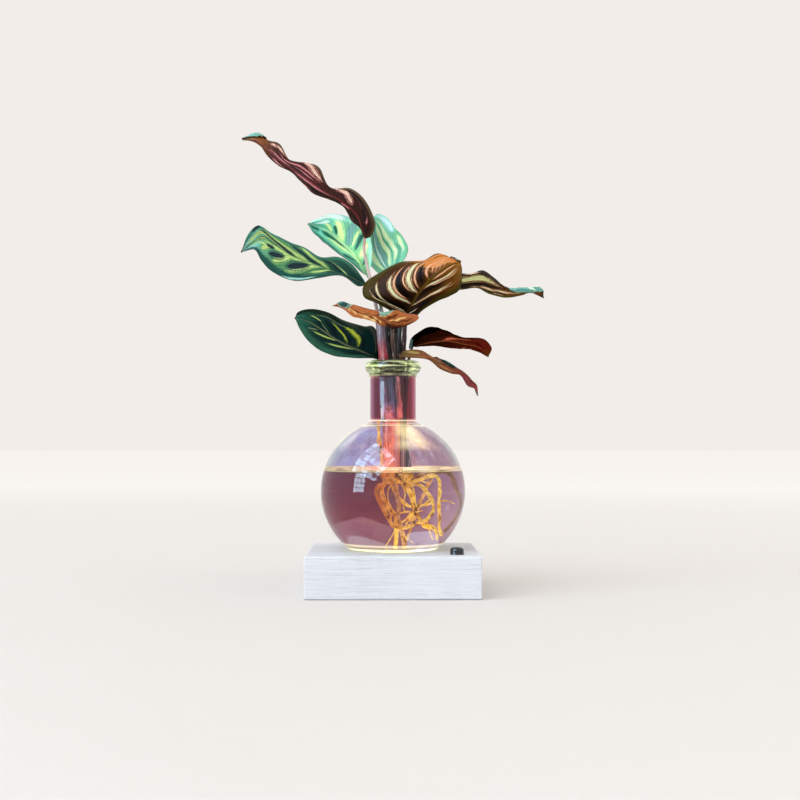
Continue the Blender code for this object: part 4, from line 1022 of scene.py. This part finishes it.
        stretch=6, strand=0.3, grain=18, veins=(5, 0.34, 0.34, 1.2), shine=0.16, rib="a0c8a0",
        margin=(0.86, 0.97, "cedcc8", "cedcc8"),
        ground={0: "143c37", 42: "1a423c", 48: "96d6ba", 58: "aae4cc", 64: "1a4640", 90: "285c56",
            100: "5a968c"},
        layers=[
            ("dcffe2", "82c8aa", 0.5, *feather((2, 20, 40, 62), 24, 5))]),
    "wineUnder": dict(
        stretch=6, strand=0.3, grain=18, veins=(6, 0.4, 0.4, 1.2), gloss=0.36, shine=0.12,
        rib="965440", margin=(0.7, 0.95, "461e0c", "461e0c"),
        ground={0: "360e0c", 60: "5c1e14", 100: "80421e"},
        layers=[
            ("d69684", "964e46", 0.5, *feather((2, 16, 30, 44, 58), 26, 5))]),
}
# a darker copy of tealTop: painted shade on the strap's back
leafTones["shadedTealTop"] = dict(leafTones["tealTop"], lift=0.5, shine=0, gloss=0.8,
                            margin=(0.7, 0.95, "465a54", "324a44"))
# What lies behind, the slot, the waves along the blade (how many, how high in mm, where they
# start) and where a margin curls over (side, from, to, how much)
leafForms = {
    "leaf_crest": ("tealTop", "leaf_maroon", (4.2, 1.5, 0.1), [("right", 0.83, 1, 0.7)]),
    "leaf_west": ("wineUnder", "leaf_green", (2, 0.8, 0), []),
    "leaf_mint_left": ("wineUnder", "leaf_mint", (2, 0.6, 0.4), []),
    "leaf_mint_right": ("wineUnder", "leaf_mint", (2, 0.6, 0.2), []),
    "leaf_centre": ("tealTop", "leaf_maroon", (1.6, 0.5, 0.3), [("left", 0.88, 1, 0.8)]),
    "leaf_east": ("tealTop", "leaf_maroon", (2.2, 1, 0.2), [("left", 0.70, 0.94, 0.40)]),
    "leaf_copper": ("patchRear", "leaf_copper_tone", (2.6, 1, 0),
                    [("right", 0.44, 0.60, 0.22), ("right", 0.78, 0.95, 0.5)]),
    "leaf_low_left": ("wineUnder", "leaf_green", (1.4, 0.5, 0), []),
    "leaf_low_right": ("tealTop", "leaf_maroon", (1.6, 0.6, 0.5), []),
    "leaf_strap": ("shadedTealTop", "leaf_copper_tone", (3, 0.6, 0), [("left", 0.36, 0.60, 0.26)]),
}
# What all blades share: their grid, where it starts and ends on the rib, how they bulge, ruffle,
# pleat and curl in mm, the half width from which they do so in full, and the looks' common values
blade = dict(rows=120, columns=36, start=0.004, end=0.998, swell=0.12, thick=0.35, ruffle=0.3,
             pleat=0.42, curlLift=0.95, full=7, dim=0.78, gloss=0.34, lift=1)


def leafLook(name):
    look = {**blade, **leafTones[name]}

    def tone(colour):
        return [part * look["dim"] * look["lift"] for part in paint(colour)[:3]]

    sheet = Sheet(name)
    u, v, unused = sheet.parts(sheet.node("ShaderNodeUVMap", {}, uv_map="blade"))
    half = v * 2 - 1
    across = abs(half)
    left = half.calc("GREATER_THAN", 0)
    length = look["stretch"]
    flat = sheet.joined(u * length, half, left * 3)
    drift = sheet.cloud(flat, 1.1, 2) - 0.5
    count, rightSweep, leftSweep, curve = look["veins"]
    line = (u - (across ** curve) * (left * (leftSweep - rightSweep) + rightSweep)) * count
    ragged = sheet.cloud(sheet.joined(line * 9, across * 5, left * 7), 2.6, 3, 0.75) - 0.5
    spot = sheet.joined(u * length + drift * 0.14, half + drift * 0.10, 0)
    grain = sheet.cloud(flat, look["grain"], 2, 0.6).ramp(0.34, 0.60)
    shade = sheet.colours(u + drift * 0.12 + ragged * 0.06,
                          {place / 100: tone(colour) for place, colour in look["ground"].items()})
    start, end, rightTone, leftTone = look["margin"]
    shade = sheet.mix((across + drift * 0.2 + ragged * 0.1).ramp(start, end), shade,
                      sheet.mix(left, tone(rightTone), tone(leftTone)))
    for middle, brim, rough, *strokes in look["layers"]:
        depth = -9
        for stroke in strokes:
            startU, startV, endU, endV, width, bow = (part / 100 for part in (*stroke, 0)[:6])
            du, dv = (endU - startU) * length, endV - startV
            x, y, unused = sheet.parts(sheet.node("ShaderNodeMapping", {
                "Vector": spot, "Rotation": (0, 0, math.atan2(dv, du)),
                "Location": ((startU + endU) / 2 * length, (startV + endV) / 2, 0),
                "Scale": (math.hypot(du, dv) / 2, width, 1)}, vector_type="TEXTURE"))
            room = x * x
            inside = 1 - room * room - abs(y - (1 - room) * (bow / width))
            depth = inside.calc("MAXIMUM", depth)
        depth = depth + ragged * rough
        gap = band(depth, 0.42, 0.11) * look["strand"]
        core = depth.ramp(0.40, 0.50)
        cover = depth.ramp(0, 0.10) * (core.calc("MAXIMUM", grain) * (1 - gap))
        shade = sheet.mix(cover, shade, sheet.mix(core, tone(brim), tone(middle)))
    veins = (line * (math.tau * 8)).calc("SINE") * 0.5 + 0.5
    fine = (line * (math.tau * 5.3) + ragged * 3).calc("SINE").ramp(0.55, 1)
    shade = sheet.mix(fine * 0.26 + (1 - grain) * 0.10, shade, black)
    ribLine = across.ramp(0.05, 0.02)
    shade = sheet.mix(ribLine, shade, tone(look["rib"]))
    sheet.bump(veins * 0.2 + ribLine * 0.8 + ragged * 0.2, 0.35, 0.6 * mm)
    return sheet.finish(Base_Color=shade, Roughness=drift * 0.16 + look["gloss"],
                        Specular_IOR_Level=look["shine"])


def edgeLook():
    sheet = Sheet("leafEdge")
    tone = sheet.cloud(sheet.place(), 200, 2)
    return sheet.finish(Base_Color=sheet.mix(tone, "603232", "967464"), Roughness=0.5)


def window(value, start, end):  # 0 outside, 1 inside, with soft ends
    rise = min(max((value - start) / 0.07, 0), 1)
    fall = min(max((end - value) / 0.07, 0), 1) if end < 1 else 1
    share = min(rise, fall)
    return share * share * (3 - 2 * share)


def leafSpot(lines, look, form, u, v, seed):  # u from stalk to tip, v from -1 right to 1 left
    side, index, sign = ("left", 1, 1) if v > 0 else ("right", 0, -1)
    curl = sum(amount * window(u, begin, end) for curled, begin, end, amount in form[3]
               if curled == side)
    path = abs(v) * (1 + curl)
    share = path if path <= 1 else 2 - path
    rib = along(lines["rib"], u)
    ahead = along(lines["rib"], min(u + 0.02, 1)) - along(lines["rib"], max(u - 0.02, 0))
    out = along(lines[side], u) - rib
    swell = (ahead.cross(out) * sign).normalized()
    small = min(1, out.length / (blade["full"] * mm))
    rise = out.length * blade["swell"] * 4 * share * (1 - share)
    count, *sweeps, curve = look["veins"]
    line = (u - share ** curve * sweeps[index]) * count + 0.45 * index
    rise += math.cos(math.tau * line) * blade["pleat"] * mm * small * math.sin(math.pi * share)
    waves, height, start = form[2]
    rise += math.sin(math.tau * (u * waves + start + index / 2)) * height * mm * (
        share ** 1.5 * small * math.sin(math.pi * min(u * 1.05, 1)) ** 0.5)
    rise += noise.noise(Vector((u * 9, v * 2, seed))) * blade["ruffle"] * mm * share * 2
    if path > 1:
        rise += blade["curlLift"] * mm * min((path - 1) / 0.12, 1)
    return rib + out * share + swell * rise


def makeLeaf(node, outline, looks, edge, seed):
    lines = {side: [Vector(point) * mm for point in points] for side, points in outline.items()}
    for side in ("left", "right"):
        lines[side] = [lines["rib"][0], *lines[side], lines["rib"][-1]]
    form = leafForms[node]
    bm = bmesh.new()
    uvLayer = bm.loops.layers.uv.new("blade")
    bmesh.ops.create_grid(bm, x_segments=blade["rows"], y_segments=blade["columns"], size=1)
    for face in bm.faces:
        for loop in face.loops:
            loop[uvLayer].uv = ((loop.vert.co.x + 1) / 2, (loop.vert.co.y + 1) / 2)
    for vert in bm.verts:
        u = blade["start"] + (blade["end"] - blade["start"]) * (vert.co.x + 1) / 2
        vert.co = leafSpot(lines, leafTones[node], form, u, vert.co.y, seed)
    piece = addPiece("grown_" + node, bm, [looks[node], looks[form[0]], edge], [node],
                     closed=False)
    solid = piece.modifiers.new("thickness", "SOLIDIFY")
    solid.thickness = blade["thick"] * mm
    solid.offset = -1
    solid.material_offset = 1
    solid.material_offset_rim = 2


def makeLeaves():
    looks = {name: leafLook(name) for name in leafTones}
    edge = edgeLook()
    for seed, (node, outline) in enumerate(leaves.items()):
        makeLeaf(node, outline, looks, edge, seed * 1.7)
    print("leaves made")


makeCamera()
makeStage()
makeLamps()
makeStand()
makeButton()
makeFlask()
makeStalks()
makeRoots()
makeLeaves()
